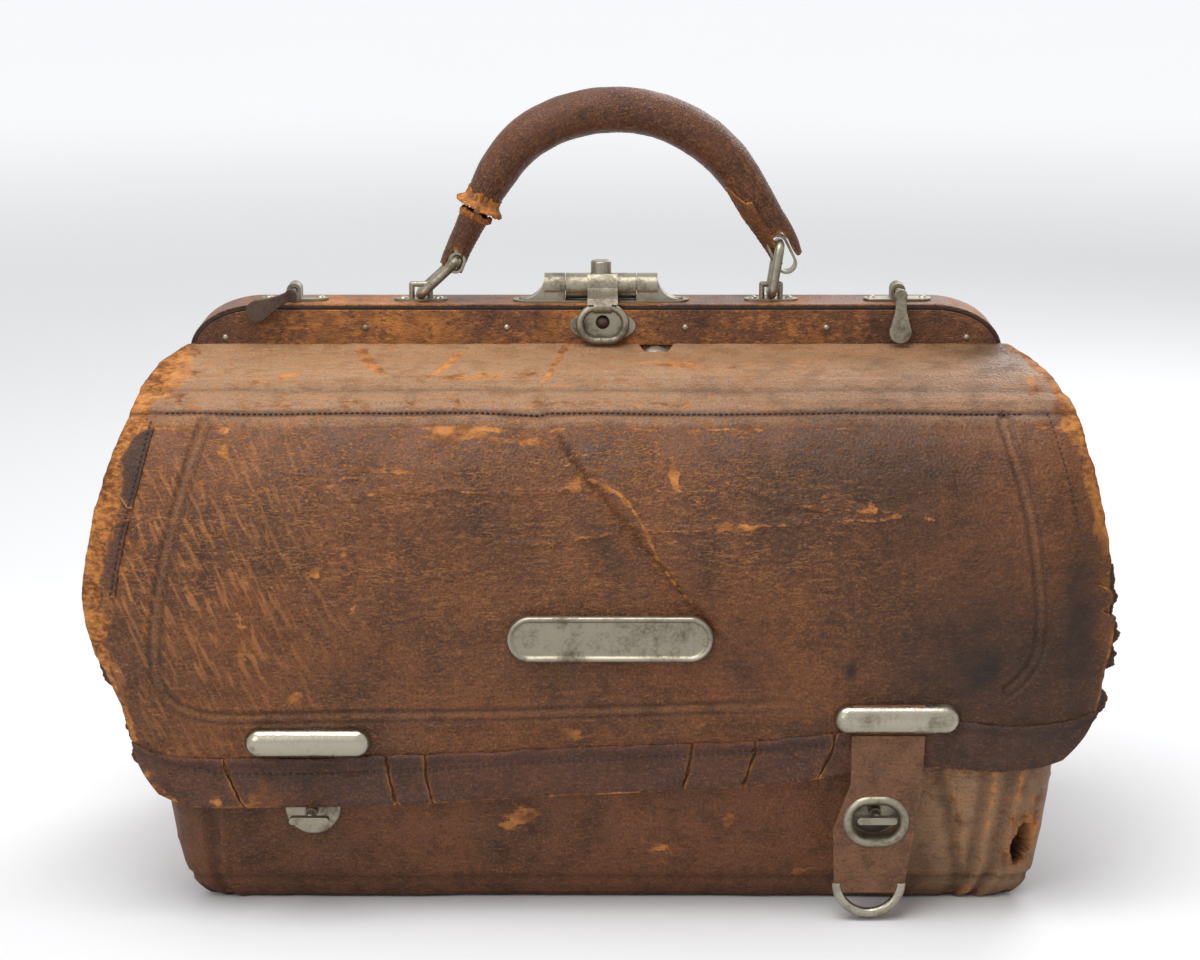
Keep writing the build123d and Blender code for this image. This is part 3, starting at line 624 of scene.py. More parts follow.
def pressed(node: str, finish: Finish, body: str, rings: Sequence[Pair], proud: float) -> None:
    """A round-ended plate pressed from sheet, standing for a plain one.

    Args:
        node: the plate's node.
        finish: what it is made of.
        body: the body that it moves with.
        rings: how far each ring is drawn in, in millimetres, and its share of the height.
        proud: how far the highest ring stands in front of the plain plate, in millimetres.
    """
    low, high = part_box(node)
    middle = (low + high) / 2
    long, round_by = (high.x - low.x) / 2, (high.z - low.z) / 2
    tall = high.y - low.y + proud * MM
    shape = bmesh.new()
    bmesh.ops.create_circle(shape, segments=96, radius=1.0)
    angles = [math.atan2(vertex.co.y, vertex.co.x) for vertex in shape.verts]
    ring = shape.verts[:]
    edges = shape.edges[:]
    for i, (inset, share) in enumerate(rings):
        if i:
            turned = bmesh.ops.extrude_edge_only(shape, edges=edges)["geom"]
            ring = [item for item in turned if isinstance(item, bmesh.types.BMVert)]
            edges = [item for item in turned if isinstance(item, bmesh.types.BMEdge) and item.is_boundary]
        radius = round_by - inset * MM
        for vertex, angle in zip(ring, angles):
            side = math.copysign(long - round_by, math.cos(angle))
            x = middle.x + side + radius * math.cos(angle)
            vertex.co = (x, high.y - tall * share, middle.z + radius * math.sin(angle))
    if rings[-1][1] > 0:
        bmesh.ops.contextual_create(shape, geom=ring)
    bmesh.ops.recalc_face_normals(shape, faces=shape.faces[:])
    made = finished(f"{node}_pressed", shape, finish)
    even = made.modifiers.new("even_shading", "WEIGHTED_NORMAL")
    even.keep_sharp = False
    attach(made, body)
    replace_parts(made, node)


def stitches(name: str, seam: Sequence[tuple[Vector, Vector]], pitch: float, size: float) -> None:
    """A row of sunk thread stitches that rides on the flap.

    Args:
        name: the piece's name.
        seam: points along the seam, each with the surface's normal.
        pitch: the distance from one stitch to the next.
        size: the thread's thickness.
    """
    shape = bmesh.new()
    walked = 0.0
    for (start, out), (end, _) in zip(seam, seam[1:]):
        run = (end - start).length
        along = (end - start).normalized()
        turn = Matrix((along, out.cross(along).normalized(), out)).transposed().to_4x4()
        flat = Matrix.Diagonal((pitch * 0.34, size * 0.5, size * 0.4, 1.0))
        while walked < run:
            place = Matrix.Translation(start.lerp(end, walked / run)) @ turn @ flat
            bmesh.ops.create_uvsphere(shape, u_segments=6, v_segments=4, radius=1.0, matrix=place)
            walked += pitch
        walked -= run
    made = finished(name, shape, Finish.THREAD)
    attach(made, "flap")


@dataclass
class Flap:
    """The large front flap: its section, outline, pressed lines, hem and worn places, in millimetres."""

    section: tuple[Pair, ...] = (
        (-15.5, 261.6),
        (-19.5, 260.5),
        (-27.0, 258.4),
        (-42.0, 256.4),
        (-60.0, 252.0),
        (-71.0, 247.6),
        (-85.0, 240.0),
        (-105.0, 222.0),
        (-118.0, 190.0),
        (-124.0, 150.0),
        (-126.3, 110.0),
        (-124.4, 70.0),
        (-122.5, 50.0),
    )
    left: tuple[Pair, ...] = (
        (-206.0, 261.6),
        (-215.0, 257.0),
        (-225.0, 240.0),
        (-237.0, 203.0),
        (-245.0, 150.0),
        (-239.0, 129.0),
        (-226.0, 102.0),
        (-219.0, 77.0),
        (-210.0, 63.5),
    )
    lower: tuple[Pair, ...] = (
        (-210.0, 63.5),
        (-198.0, 57.5),
        (-177.0, 55.0),
        (-104.0, 56.5),
        (6.0, 62.5),
        (98.0, 69.0),
        (158.0, 75.7),
        (205.0, 74.5),
        (224.0, 79.0),
    )
    right: tuple[Pair, ...] = (
        (208.0, 261.6),
        (223.0, 253.0),
        (236.0, 220.0),
        (245.0, 183.0),
        (247.0, 156.0),
        (243.0, 111.0),
        (236.0, 91.0),
        (224.0, 79.0),
    )
    pressed_left: tuple[Pair, ...] = (
        (-187.0, 235.0),
        (-198.0, 196.0),
        (-207.0, 154.0),
        (-209.0, 130.0),
        (-204.0, 110.0),
        (-190.0, 102.0),
        (-165.0, 100.0),
        (-60.0, 102.0),
        (50.0, 105.5),
        (110.0, 107.5),
    )
    pressed_right: tuple[Pair, ...] = (
        (195.0, 237.0),
        (200.0, 219.0),
        (204.0, 204.0),
        (209.0, 172.0),
        (211.0, 148.0),
        (207.0, 126.0),
        (196.0, 114.0),
    )
    seam_left: tuple[Pair, ...] = ((-212.0, 236.0), (-218.0, 211.0), (-225.0, 184.0), (-230.0, 158.0))
    seam_right: tuple[Pair, ...] = ((216.0, 240.0), (220.0, 226.0), (224.5, 208.0), (228.0, 190.0))
    seam_lower: tuple[Pair, ...] = (
        (-214.0, 88.0),
        (-206.0, 80.0),
        (-193.0, 75.5),
        (-159.0, 72.5),
        (-93.0, 75.0),
        (-1.0, 80.0),
        (70.0, 84.0),
        (118.0, 88.0),
    )
    crease: tuple[Pair, ...] = ((-3.0, 214.0), (14.0, 204.0), (23.0, 190.0), (30.0, 176.0), (45.0, 157.0))
    folds: tuple[tuple[Pair, ...], ...] = (
        ((62.0, 212.0), (84.0, 205.0), (104.0, 201.0), (138.0, 199.0)),
        ((24.0, 190.0), (60.0, 191.0), (100.0, 194.0), (160.0, 196.0)),
        ((-120.0, 204.0), (-80.0, 209.0), (-40.0, 207.0), (-8.0, 211.0)),
        ((-60.0, 186.0), (-30.0, 184.0), (10.0, 189.0)),
    )
    scuffs: tuple[Spot, ...] = (
        Spot(-67, 232, 20, 3.4, 3, 1.3),
        Spot(-40, 230, 30, 2.6, 0, 0.9),
        Spot(-45, 225, 12, 2.6, 8, 0.8),
        Spot(-10, 211, 3.2, 8, -12, 0.9),
        Spot(37, 214, 2.8, 13, 8, 1.1),
        Spot(31, 222, 2.0, 6, 0, 0.9),
        Spot(-50, 221, 8, 3, -10, 0.6),
        Spot(-140, 214, 16, 2.4, -6, 0.8),
        Spot(-128, 210, 9, 2.0, 12, 0.9),
        Spot(-168, 150, 3, 8, 10, 0.7),
        Spot(-168, 132, 7, 11, 0, 0.75),
        Spot(-132, 170, 5, 6, 40, 0.7),
        Spot(-112, 156, 3, 9, -30, 0.8),
        Spot(-14, 92, 9, 5, 20, 0.85),
        Spot(-2, 206, 8, 2, 20, 0.7),
        Spot(62, 193, 12, 2.6, -8, 0.8),
        Spot(-125, 180, 20, 5, -24, 0.55),
        Spot(9, 200, 7, 2, 30, 0.8),
        Spot(118, 204, 22, 2, -12, 0.6),
        Spot(50, 95, 4, 8, 0, 0.6),
        Spot(-205, 254, 10, 7, 20, 1.1),
        Spot(212, 250, 8, 12, 0, 0.8),
        Spot(160, 150, 2, 6, 20, 0.6),
        Spot(-40, 243.5, 160, 1.8, 0, 0.7),
        Spot(-110, 256, 13, 1.5, -20, 1.4),
        Spot(-74, 255.5, 13, 1.4, 24, 1.4),
        Spot(-20, 256, 12, 1.5, 40, 1.4),
        Spot(-58, 252.6, 46, 1.2, 2, 1.1),
        Spot(40, 256, 34, 1.3, -2, 1.0),
        Spot(-150, 253, 18, 1.3, 6, 1.0),
        Spot(-176, 227, 3.0, 9, 10, 0.9),
        Spot(-100, 217, 22, 2.0, -4, 0.9),
        Spot(-12, 222, 10, 1.6, 20, 0.9),
        Spot(226, 236, 7, 15, 14, 1.0),
        Spot(238, 196, 5, 22, 6, 0.8),
        Spot(-150, 165, 2.4, 12, -8, 0.8),
        Spot(-142, 112, 9, 3, 30, 0.8),
    )
    stains_and_shade: tuple[Spot, ...] = (
        # The first spot is painted shade in the dent left of the crease; the others are stains.
        Spot(4, 182, 30, 9, -52, 0.75),
        Spot(-60, 190, 60, 10, 3, 0.4),
        Spot(130, 218, 60, 20, -6, 0.75),
        Spot(92, 196, 20, 24, 20, 0.7),
        Spot(158, 186, 50, 30, 0, 0.55),
        Spot(188, 122, 50, 46, 0, 1.15),
        Spot(121, 124, 3.5, 5, 0, 1.2),
        Spot(155, 126, 10, 10, 0, 0.6),
        Spot(70, 130, 16, 30, 0, 0.45),
        Spot(120, 92, 30, 9, 8, 0.5),
        Spot(200, 92, 40, 16, 0, 1.1),
        Spot(50, 172, 12, 26, 20, 0.5),
        Spot(200, 262, 20, 6, 0, 1.2),
        Spot(-160, 190, 24, 20, 0, 0.25),
        Spot(-40, 186, 40, 22, 0, 0.4),
        Spot(229, 135, 12, 56, 0, 1.1),
    )
    columns: int = 430
    rows: int = 208
    hide: float = 0.003

    def build(self) -> None:
        """Makes the flap's leather, its hem, its lining, its facings and its stitches."""
        self.spine = in_metres(self.section, 600)
        self.run = np.concatenate([[0], np.cumsum(np.hypot(*np.diff(self.spine, axis=0).T))])
        slope = np.gradient(self.spine, self.run, axis=0)
        self.out = np.column_stack([slope[:, 1], -slope[:, 0]])
        self.edges = {side: self.unrolled(getattr(self, side)) for side in ("left", "lower", "right")}
        self.edges["upper"] = np.linspace(self.edges["left"][0], self.edges["right"][0], 240)
        self.leather()
        self.lining()
        self.hem()
        self.facings()
        self.fringes()
        self.sew()

    def unrolled(self, points: Sequence[Pair]) -> np.ndarray:
        """A line seen from the front, as X and the distance down the section."""
        line = in_metres(points, 240)
        return np.column_stack([line[:, 0], self.down(line[:, 1])])

    def down(self, z: np.ndarray) -> np.ndarray:
        """The distance down the section at a height."""
        return np.interp(-z, -self.spine[:, 1], self.run)

    def patch(self, u: np.ndarray, v: np.ndarray) -> tuple[np.ndarray, np.ndarray]:
        """Places on the unrolled flap, from the root at v = 0 to the lower edge at v = 1.

        Args:
            u: shares across, from the left.
            v: shares down.

        Returns:
            X and the distance down the section.
        """
        t = np.linspace(0, 1, 240)
        found = []
        for axis in (0, 1):
            edge = {name: line[:, axis] for name, line in self.edges.items()}
            across = (1 - v) * np.interp(u, t, edge["upper"]) + v * np.interp(u, t, edge["lower"])
            along = (1 - u) * np.interp(v, t, edge["left"]) + u * np.interp(v, t, edge["right"])
            corners = (1 - v) * ((1 - u) * edge["upper"][0] + u * edge["upper"][-1])
            corners += v * ((1 - u) * edge["lower"][0] + u * edge["lower"][-1])
            found.append(across + along - corners)
        return found[0], found[1]

    def point(self, x: np.ndarray, down: np.ndarray, height: np.ndarray) -> np.ndarray:
        """Points in space above the unrolled flap."""
        y = np.interp(down, self.run, self.spine[:, 0])
        z = np.interp(down, self.run, self.spine[:, 1])
        out_y = np.interp(down, self.run, self.out[:, 0])
        out_z = np.interp(down, self.run, self.out[:, 1])
        curl = 0.012 * smooth_step(np.abs(x), 0.195, 0.25) ** 2 * smooth_step(down, 0.03, 0.15)
        lift = height + self.sway(x, down)
        return np.column_stack([x, y + out_y * lift + curl, z + out_z * lift])

    def sway(self, x: np.ndarray, down: np.ndarray) -> np.ndarray:
        """The slow unevenness of a hide that has hung for a century."""
        spots = np.column_stack([x, down * 1.3, np.zeros(len(x))])
        plate = Spot(6.7, 190.0, 62, 26).at(x, down)
        slow = smooth_step(down, 0.02, 0.09) * 0.0022 * lumps(spots, 0.11, 2, 3.0)
        z = np.interp(down, self.run, self.spine[:, 1])
        beyond = ((x - 0.021) * 57 + (z - 0.1855) * 48) / 74.5
        dent = bell(distance_to(in_metres(self.crease, 40), x, z), 0.036) * smooth_step(-beyond, -0.0022, 0.0022)
        return (slow - 0.0046 * dent) * (1 - plate)

    def pressings(self, x: np.ndarray, z: np.ndarray, fine: np.ndarray) -> tuple[np.ndarray, ...]:
        """The burnished line pressed into the hide: its height, its band that is painted paler as a highlight, and its
        groove, which carries painted shade.
        """
        height, band, groove_shade = np.zeros(len(x)), np.zeros(len(x)), np.zeros(len(x))
        for line, fade in ((self.pressed_left, 1 - smooth_step(x, 0.05, 0.11)), (self.pressed_right, 1.0)):
            gap = distance_to(in_metres(line), x, z) + 0.0003 * fine
            height -= (0.001 * bell(gap - 0.0024, 0.0009) + 0.0002 * bell(gap, 0.002)) * fade
            height += 0.0004 * bell(gap - 0.0044, 0.0012) * fade
            # Painted highlight: this band is painted paler along the pressed line.
            band = np.maximum(band, bell(gap, 0.0019) * fade)
            groove_shade = np.maximum(groove_shade, bell(gap - 0.0027, 0.0011) * fade)
        return height, band, groove_shade

    def relief(self, x: np.ndarray, down: np.ndarray, rim: np.ndarray) -> dict[str, np.ndarray]:
        """Height, worn places, stains, and painted light and shade over the hide.

        Args:
            x: X of each vertex.
            down: its distance down the section.
            rim: its distance from the nearest cut edge.

        Returns:
            The height in metres and the masks, by name.
        """
        z = np.interp(down, self.run, self.spine[:, 1])
        spots = np.column_stack([x, down, np.zeros(len(x))])
        fine = lumps(spots, 0.012, 4, 5.0)
        ragged = lumps(spots, 0.009, 4, 9.0)
        fold = np.clip(1 - np.abs(lumps(spots * np.array([0.5, 1.6, 1]), 0.03, 3, 7.0)) * 2.2, 0, 1) ** 4
        board = smooth_step(-x, 0.1, 0.17) * bell(z - 0.165, 0.085)
        height, pressed_band_highlight, pressed_groove_shade = self.pressings(x, z, fine)
        height += 0.0002 * fine + 0.0003 * fold
        ridge_wear_and_highlight = fold * smooth_step(fine, -0.2, 0.4) * 0.5
        crack = 0.22 + 0.56 * smooth_step(z, 0.13, 0.18) * (1 - smooth_step(x, 0.09, 0.17))
        for line in self.folds:
            gap = distance_to(in_metres(line, 40) + 0.0, x, z + 0.0018 * ragged)
            height += 0.0006 * bell(gap, 0.0016)
            ridge_wear_and_highlight = np.maximum(ridge_wear_and_highlight, 0.9 * bell(gap, 0.0013) * smooth_step(fine, -0.5, 0.1))
        # The crease's ridge is rubbed tan, partly as a painted highlight.
        crease = distance_to(in_metres(self.crease), x, z + 0.001 * ragged)
        height += 0.0009 * bell(crease, 0.0022)
        ridge_wear_and_highlight = np.maximum(ridge_wear_and_highlight, bell(crease, 0.0015) * smooth_step(fine, -0.9, -0.2))
        level = z + 0.0005 * fine
        # The upper band's sunk lines; their mask also paints shade into them.
        groove_shade = 0.9 * bell(level - 0.2402, 0.0009) + 0.6 * bell(level - 0.2482, 0.0007)
        height -= 0.0008 * groove_shade
        height += 0.0006 * bell(level - 0.2445, 0.0016) + 0.0005 * bell(level - 0.2376, 0.0014)
        height -= 0.0005 * bell(level - 0.2352, 0.0006)
        # Painted top light, in part: the upward-facing upper band is painted paler as well as being a paler tan.
        pale = 0.95 * smooth_step(z, 0.2515, 0.2535) + 0.75 * smooth_step(z, 0.2405, 0.2415) * (z < 0.2525)
        pale += 0.4 * smooth_step(z, 0.2354, 0.236) * (1 - smooth_step(z, 0.2388, 0.2396))
        pale = pale * (1 - 0.35 * smooth_step(x, 0.0, 0.2)) + 0.15 * pressed_band_highlight
        strip = smooth_step(z, 0.08, 0.1) * (1 - smooth_step(z, 0.262, 0.27))
        bare = 0.0035 + 0.0085 * smooth_step(z, 0.11, 0.15) + 0.003 * ragged + 0.002 * fine
        torn_left = smooth_step(-x, 0.2, 0.21) * smooth_step(bare - rim, -0.0006, 0.0006)
        torn_right = smooth_step(x, 0.2, 0.21) * smooth_step(0.006 + 0.004 * ragged - rim, -0.0005, 0.0005)
        peeled = np.maximum(torn_left, 0.7 * torn_right * smooth_step(z, 0.16, 0.2)) * strip
        height -= 0.0008 * peeled + 0.0007 * bell(rim, 0.0012)
        edge_wear = bell(rim, 0.0026) * smooth_step(ragged, -0.6, 0.3)
        scuff = spread(self.scuffs, x, z) * (0.85 + 0.3 * fine) + 0.8 * edge_wear
        scuff += 0.5 * bell(level - 0.2345, 0.0012) + 0.42 * smooth_step(-x, 0.17, 0.235)
        stain_and_shade = spread(self.stains_and_shade, x, z) * (0.85 + 0.4 * lumps(spots, 0.035, 3, 4.0))
        return {
            "height": height,
            "raw": np.maximum(peeled * 0.9, 0.8 * bell(rim, 0.0013) * smooth_step(ragged, -0.5, 0.0)),
            "scuff": scuff,
            "stain_and_shade": stain_and_shade,
            "groove_shade": groove_shade + 0.6 * pressed_groove_shade,
            "ridge_wear_and_highlight": ridge_wear_and_highlight,
            "crack": crack,
            "pale": pale,
            "board": board * (0.7 + 0.5 * fine) * (1 - pressed_band_highlight),
        }

    def leather(self) -> None:
        """The outer hide, from the seam under the frame's band to the torn lower edge."""
        skin = Skin(self.columns, self.rows)
        x, down = self.patch(skin.u, skin.v)
        rim = np.minimum(self.rim_distance(x, down), 0.05)
        z = np.interp(down, self.run, self.spine[:, 1])
        spots = np.column_stack([x, down, np.zeros(len(x))])
        near = np.exp(-rim / 0.006)
        torn = lumps(spots, 0.007, 4, 12.0) * 0.0006 + lumps(spots, 0.034, 2, 13.0) * 0.0015
        side = smooth_step(np.abs(x), 0.19, 0.22)
        notch = 0.009 * Spot(247, 164, 6.0, 3.0).at(x, z) + 0.006 * Spot(247, 150, 5.0, 2.2).at(x, z)
        x = x - np.sign(x) * near * side * (torn + 0.0008) - notch
        down = down + near * (1 - side) * torn * 0.4 * smooth_step(skin.v, 0.5, 0.6)
        stud = 1 - smooth_step(np.abs(x - 0.03), 0.0055, 0.0095)
        down = down + 0.0095 * stud * np.exp(-down / 0.012)
        found = self.relief(x, down, rim)
        skin.lay(self.point(x, down, found.pop("height")), x, -down)
        skin.mask(**found)
        skin.rim(self.hide)
        made = skin.piece("flap_hide", Finish.FLAP, "")
        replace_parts(made, "flap_leather", "flap_hem")
        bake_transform(made, "bag", "flap", start=(0.0, -0.0185, 0.2555), end=(0.0, -0.036, 0.2555))

    def rim_distance(self, x: np.ndarray, down: np.ndarray) -> np.ndarray:
        """How far each place lies from the flap's cut edges."""
        sides = [distance_to(self.edges[side][::4], x, down) for side in ("left", "lower", "right")]
        return np.min(sides, axis=0)

    def lining(self) -> None:
        """The rough inner side of the flap."""
        skin = Skin(110, 56)
        x, down = self.patch(0.004 + 0.992 * skin.u, 0.05 + 0.945 * skin.v)
        spots = np.column_stack([x, down, np.zeros(len(x))])
        skin.lay(self.point(x, down, -0.0026 + 0.0002 * lumps(spots, 0.02, 3, 21.0)), x, -down)
        skin.mask(scuff=0.2 + 0.3 * lumps(spots, 0.05, 3, 22.0), raw=0.4)
        skin.piece("flap_lining", Finish.LINING, "flap", 0.0005)

    def hem(self) -> None:
        """The facing along the lower edge, split where it has cracked through."""
        cracks = (0.0, 0.1, 0.267, 0.306, 0.58, 0.645, 0.727, 1.0)
        lower, t = self.edges["lower"], np.linspace(0, 1, 240)
        for i, (start, end) in enumerate(zip(cracks, cracks[1:])):
            skin = Skin(max(int((end - start) * 380), 12), 14)
            wander = lumps(np.column_stack([skin.v * 0.014, skin.u * 0 + i, skin.u * 0]), 0.005, 3, 31.0)
            u = start + 0.0016 + (end - start - 0.0032) * skin.u + 0.0022 * wander
            u = np.clip(u, 0.003, 0.997)
            full = np.interp(u, t, lower[:, 1]) - self.edges["upper"][0, 1]
            tall = 0.0345 + 0.0012 * lumps(np.column_stack([u * 0.4, u * 0, u * 0]), 0.012, 3, 32.0)
            x, down = self.patch(u, 1 - (1 - skin.v) * tall / full - 0.0012)
            spots = np.column_stack([x, down, np.full(len(x), 0.3)])
            wave = lumps(spots, 0.02, 3, 33.0)
            gap = np.minimum(u - start, end - u) * 0.43
            height = 0.0012 + 0.0003 * wave + 0.0007 * np.exp(-gap / 0.003) - 0.0005 * bell(skin.v - 0.14, 0.07)
            skin.lay(self.point(x, down, height), x, -down)
            tear = smooth_step(lumps(spots, 0.011, 3, 34.0), 0.15, 0.3) * smooth_step(-x, 0.14, 0.19)
            skin.mask(
                scuff=0.9 * np.exp(-gap / 0.0012) + 0.7 * np.exp(-(1 - skin.v) / 0.1) + 0.2 * wave,
                stain_and_shade=0.3 + 0.35 * smooth_step(x, 0.1, 0.2) + 0.15 * wave,
                raw=np.maximum(np.exp(-gap / 0.0006), tear * smooth_step(skin.v, 0.35, 0.6)),
                # Painted shade along the sunk line under the stitches.
                groove_shade=0.6 * bell(skin.v - 0.14, 0.06),
                crack=np.full(len(x), 0.2),
            )
            skin.piece(f"flap_hem_{i}", Finish.HEM, "flap", 0.0013)

    def facings(self) -> None:
        """What is left of the dark facing sewn along the left edge."""
        line = in_metres(self.seam_left)
        for i, (start, end) in enumerate(((0.02, 0.46), (0.53, 1.0))):
            skin = Skin(14, 90)
            share = start + (end - start) * skin.v
            t = np.linspace(0, 1, len(line))
            edge_x, z = np.interp(share, t, line[:, 0]), np.interp(share, t, line[:, 1])
            spots = np.column_stack([z * 0, z, np.full(len(z), float(i))])
            torn = 0.0072 + 0.0062 * lumps(spots, 0.016, 5, 35.0)
            ends = np.minimum(skin.v, 1 - skin.v)
            wide = np.maximum(torn, 0.0022) * smooth_step(ends, -0.03, 0.16)
            x = edge_x + 0.0022 - (wide + 0.0022) * (1 - skin.u)
            down = self.down(z)
            border = np.minimum(skin.u * wide, ends * 0.04)
            height = 0.0009 + 0.0005 * np.exp(-border / 0.0012) + 0.0001 * lumps(spots, 0.008, 3, 36.0)
            skin.lay(self.point(x, down, height), x, -down)
            skin.mask(
                stain_and_shade=np.full(len(x), 0.35 if i else 0.8),
                raw=np.exp(-border / 0.0005),
                scuff=0.6 * np.exp(-border / 0.0012),
                crack=np.full(len(x), 0.6),
            )
            skin.piece(f"flap_facing_{i}", Finish.HEM, "flap", 0.0009)

    def fringes(self) -> None:
        """The dark frayed backing that shows beyond both torn side edges."""
        for i, (side, low, high, reach) in enumerate(((1.0, 0.084, 0.172, 0.0048), (-1.0, 0.064, 0.13, 0.0036))):
            skin = Skin(20, 170)
            z = low + (high - low) * (1 - skin.v)
            down = self.down(z)
            edge = self.edges["right" if side > 0 else "left"]
            spots = np.column_stack([skin.u * 0, z, np.full(len(z), 3.0 + i)])
            ends = smooth_step(np.minimum(skin.v, 1 - skin.v), 0.0, 0.16)
            torn = reach * np.clip(0.35 + 1.4 * lumps(spots, 0.012, 5, 37.0), -0.6, 1.5) * ends
            outwards = skin.u if side > 0 else 1 - skin.u
            x = np.interp(down, edge[:, 1], edge[:, 0]) + side * (outwards * (torn + 0.008) - 0.008)
            curl = 0.0012 * lumps(np.column_stack([x, z, z * 0]), 0.012, 3, 38.0) * outwards
            skin.lay(self.point(x, down, -0.0037 + curl), x, -down)
            skin.mask(stain_and_shade=0.9, raw=0.5 * bell(1 - outwards, 0.05), crack=0.4)
            skin.piece(f"flap_fringe_{i}", Finish.HEM, "flap", 0.0009)

    def sew(self) -> None:
        """The rows of stitches along the side facings, the hem and the upper band."""
        rows = {
            "left": (self.seam_left, 0.0013, 3.1),
            "right": (self.seam_right, 0.0001, 3.0),
            "lower": (self.seam_lower, 0.0019, 3.3),
            "band": (((-205.0, 240.2), (0.0, 240.3), (205.0, 240.2)), -0.0002, 2.6),
        }
        for name, (points, lift, pitch) in rows.items():
            line = in_metres(points, 120)
            down = self.down(line[:, 1])
            spots = self.point(line[:, 0], down, np.full(len(line), lift))
            outward = self.point(line[:, 0], down, np.full(len(line), lift + 0.01)) - spots
            seam = [(Vector(p), Vector(o).normalized()) for p, o in zip(spots, outward)]
            stitches(f"flap_stitches_{name}", seam, pitch * MM, 1.2 * MM)


@dataclass(frozen=True)
class Shell:
    """A lofted leather wall: rounded rectangles, each with height, sides, front, rear and radius."""

    levels: tuple[tuple[float, ...], ...]

    def sizes(self, z: np.ndarray) -> list[np.ndarray]:
        """Left, right, front, rear and corner radius at each height."""
        table = np.array(self.levels) * MM
        found = []
        for column in range(1, 6):
            line = rounded_line(list(zip(table[:, 0], table[:, column])), 400)
            found.append(np.interp(z, line[:, 0], line[:, 1]))
        return found

    def around(self, u: np.ndarray, z: np.ndarray) -> tuple[np.ndarray, ...]:
        """Places around the wall, from the rear left corner over the left, front and right sides.

        Args:
            u: share of the way round.
            z: height.

        Returns:
            X, Y, the outward direction's X and Y, and the distance walked.
        """
        left, right, front, rear, radius = self.sizes(z)
        centres = (
            (left + radius, rear - radius),
            (left + radius, front + radius),
            (right - radius, front + radius),
            (right - radius, rear - radius),
        )
        x, y, out_x, out_y = (np.zeros(len(u)) for _ in range(4))
        start, turned = 0.0, 0.05
        for i, side in enumerate((0.11, 0.29, 0.11, 0.29)):
            cx, cy = centres[i]
            in_turn = (u >= start) & (u <= start + turned)
            angle = np.radians(90.0 * (i + 1 + (u - start) / turned))
            x = np.where(in_turn, cx + radius * np.cos(angle), x)
            y = np.where(in_turn, cy + radius * np.sin(angle), y)
            out_x, out_y = np.where(in_turn, np.cos(angle), out_x), np.where(in_turn, np.sin(angle), out_y)
            start += turned
            face_x, face_y = math.cos(math.radians(90.0 * (i + 2))), math.sin(math.radians(90.0 * (i + 2)))
            on_side = (u > start) & (u <= start + side + 1e-6)
            share = (u - start) / side
            nx, ny = centres[(i + 1) % 4]
            x = np.where(on_side, cx + (nx - cx) * share + radius * face_x, x)
            y = np.where(on_side, cy + (ny - cy) * share + radius * face_y, y)
            out_x, out_y = np.where(on_side, face_x, out_x), np.where(on_side, face_y, out_y)
            start += side
        return x, y, out_x, out_y, u * 1.45

    def turned_in(self, points: tuple[np.ndarray, ...], z: np.ndarray, height: np.ndarray) -> np.ndarray:
        """Points of the wall with its relief, drawn in towards the base at its soft lower edge."""
        x, y, out_x, out_y, _ = points
        share = np.clip((0.02 - z) / 0.02, 0, 1)
        inset = 0.0115 * (1 - np.sqrt(1 - 0.98 * share**2))
        x = x + out_x * height - np.sign(x) * inset * np.abs(out_x)
        y = y + out_y * (height - 0.3 * inset)
        squeeze = 1 - inset / 0.21 * (np.abs(out_x) <= np.abs(out_y))
        return np.column_stack([x * squeeze, y, z])


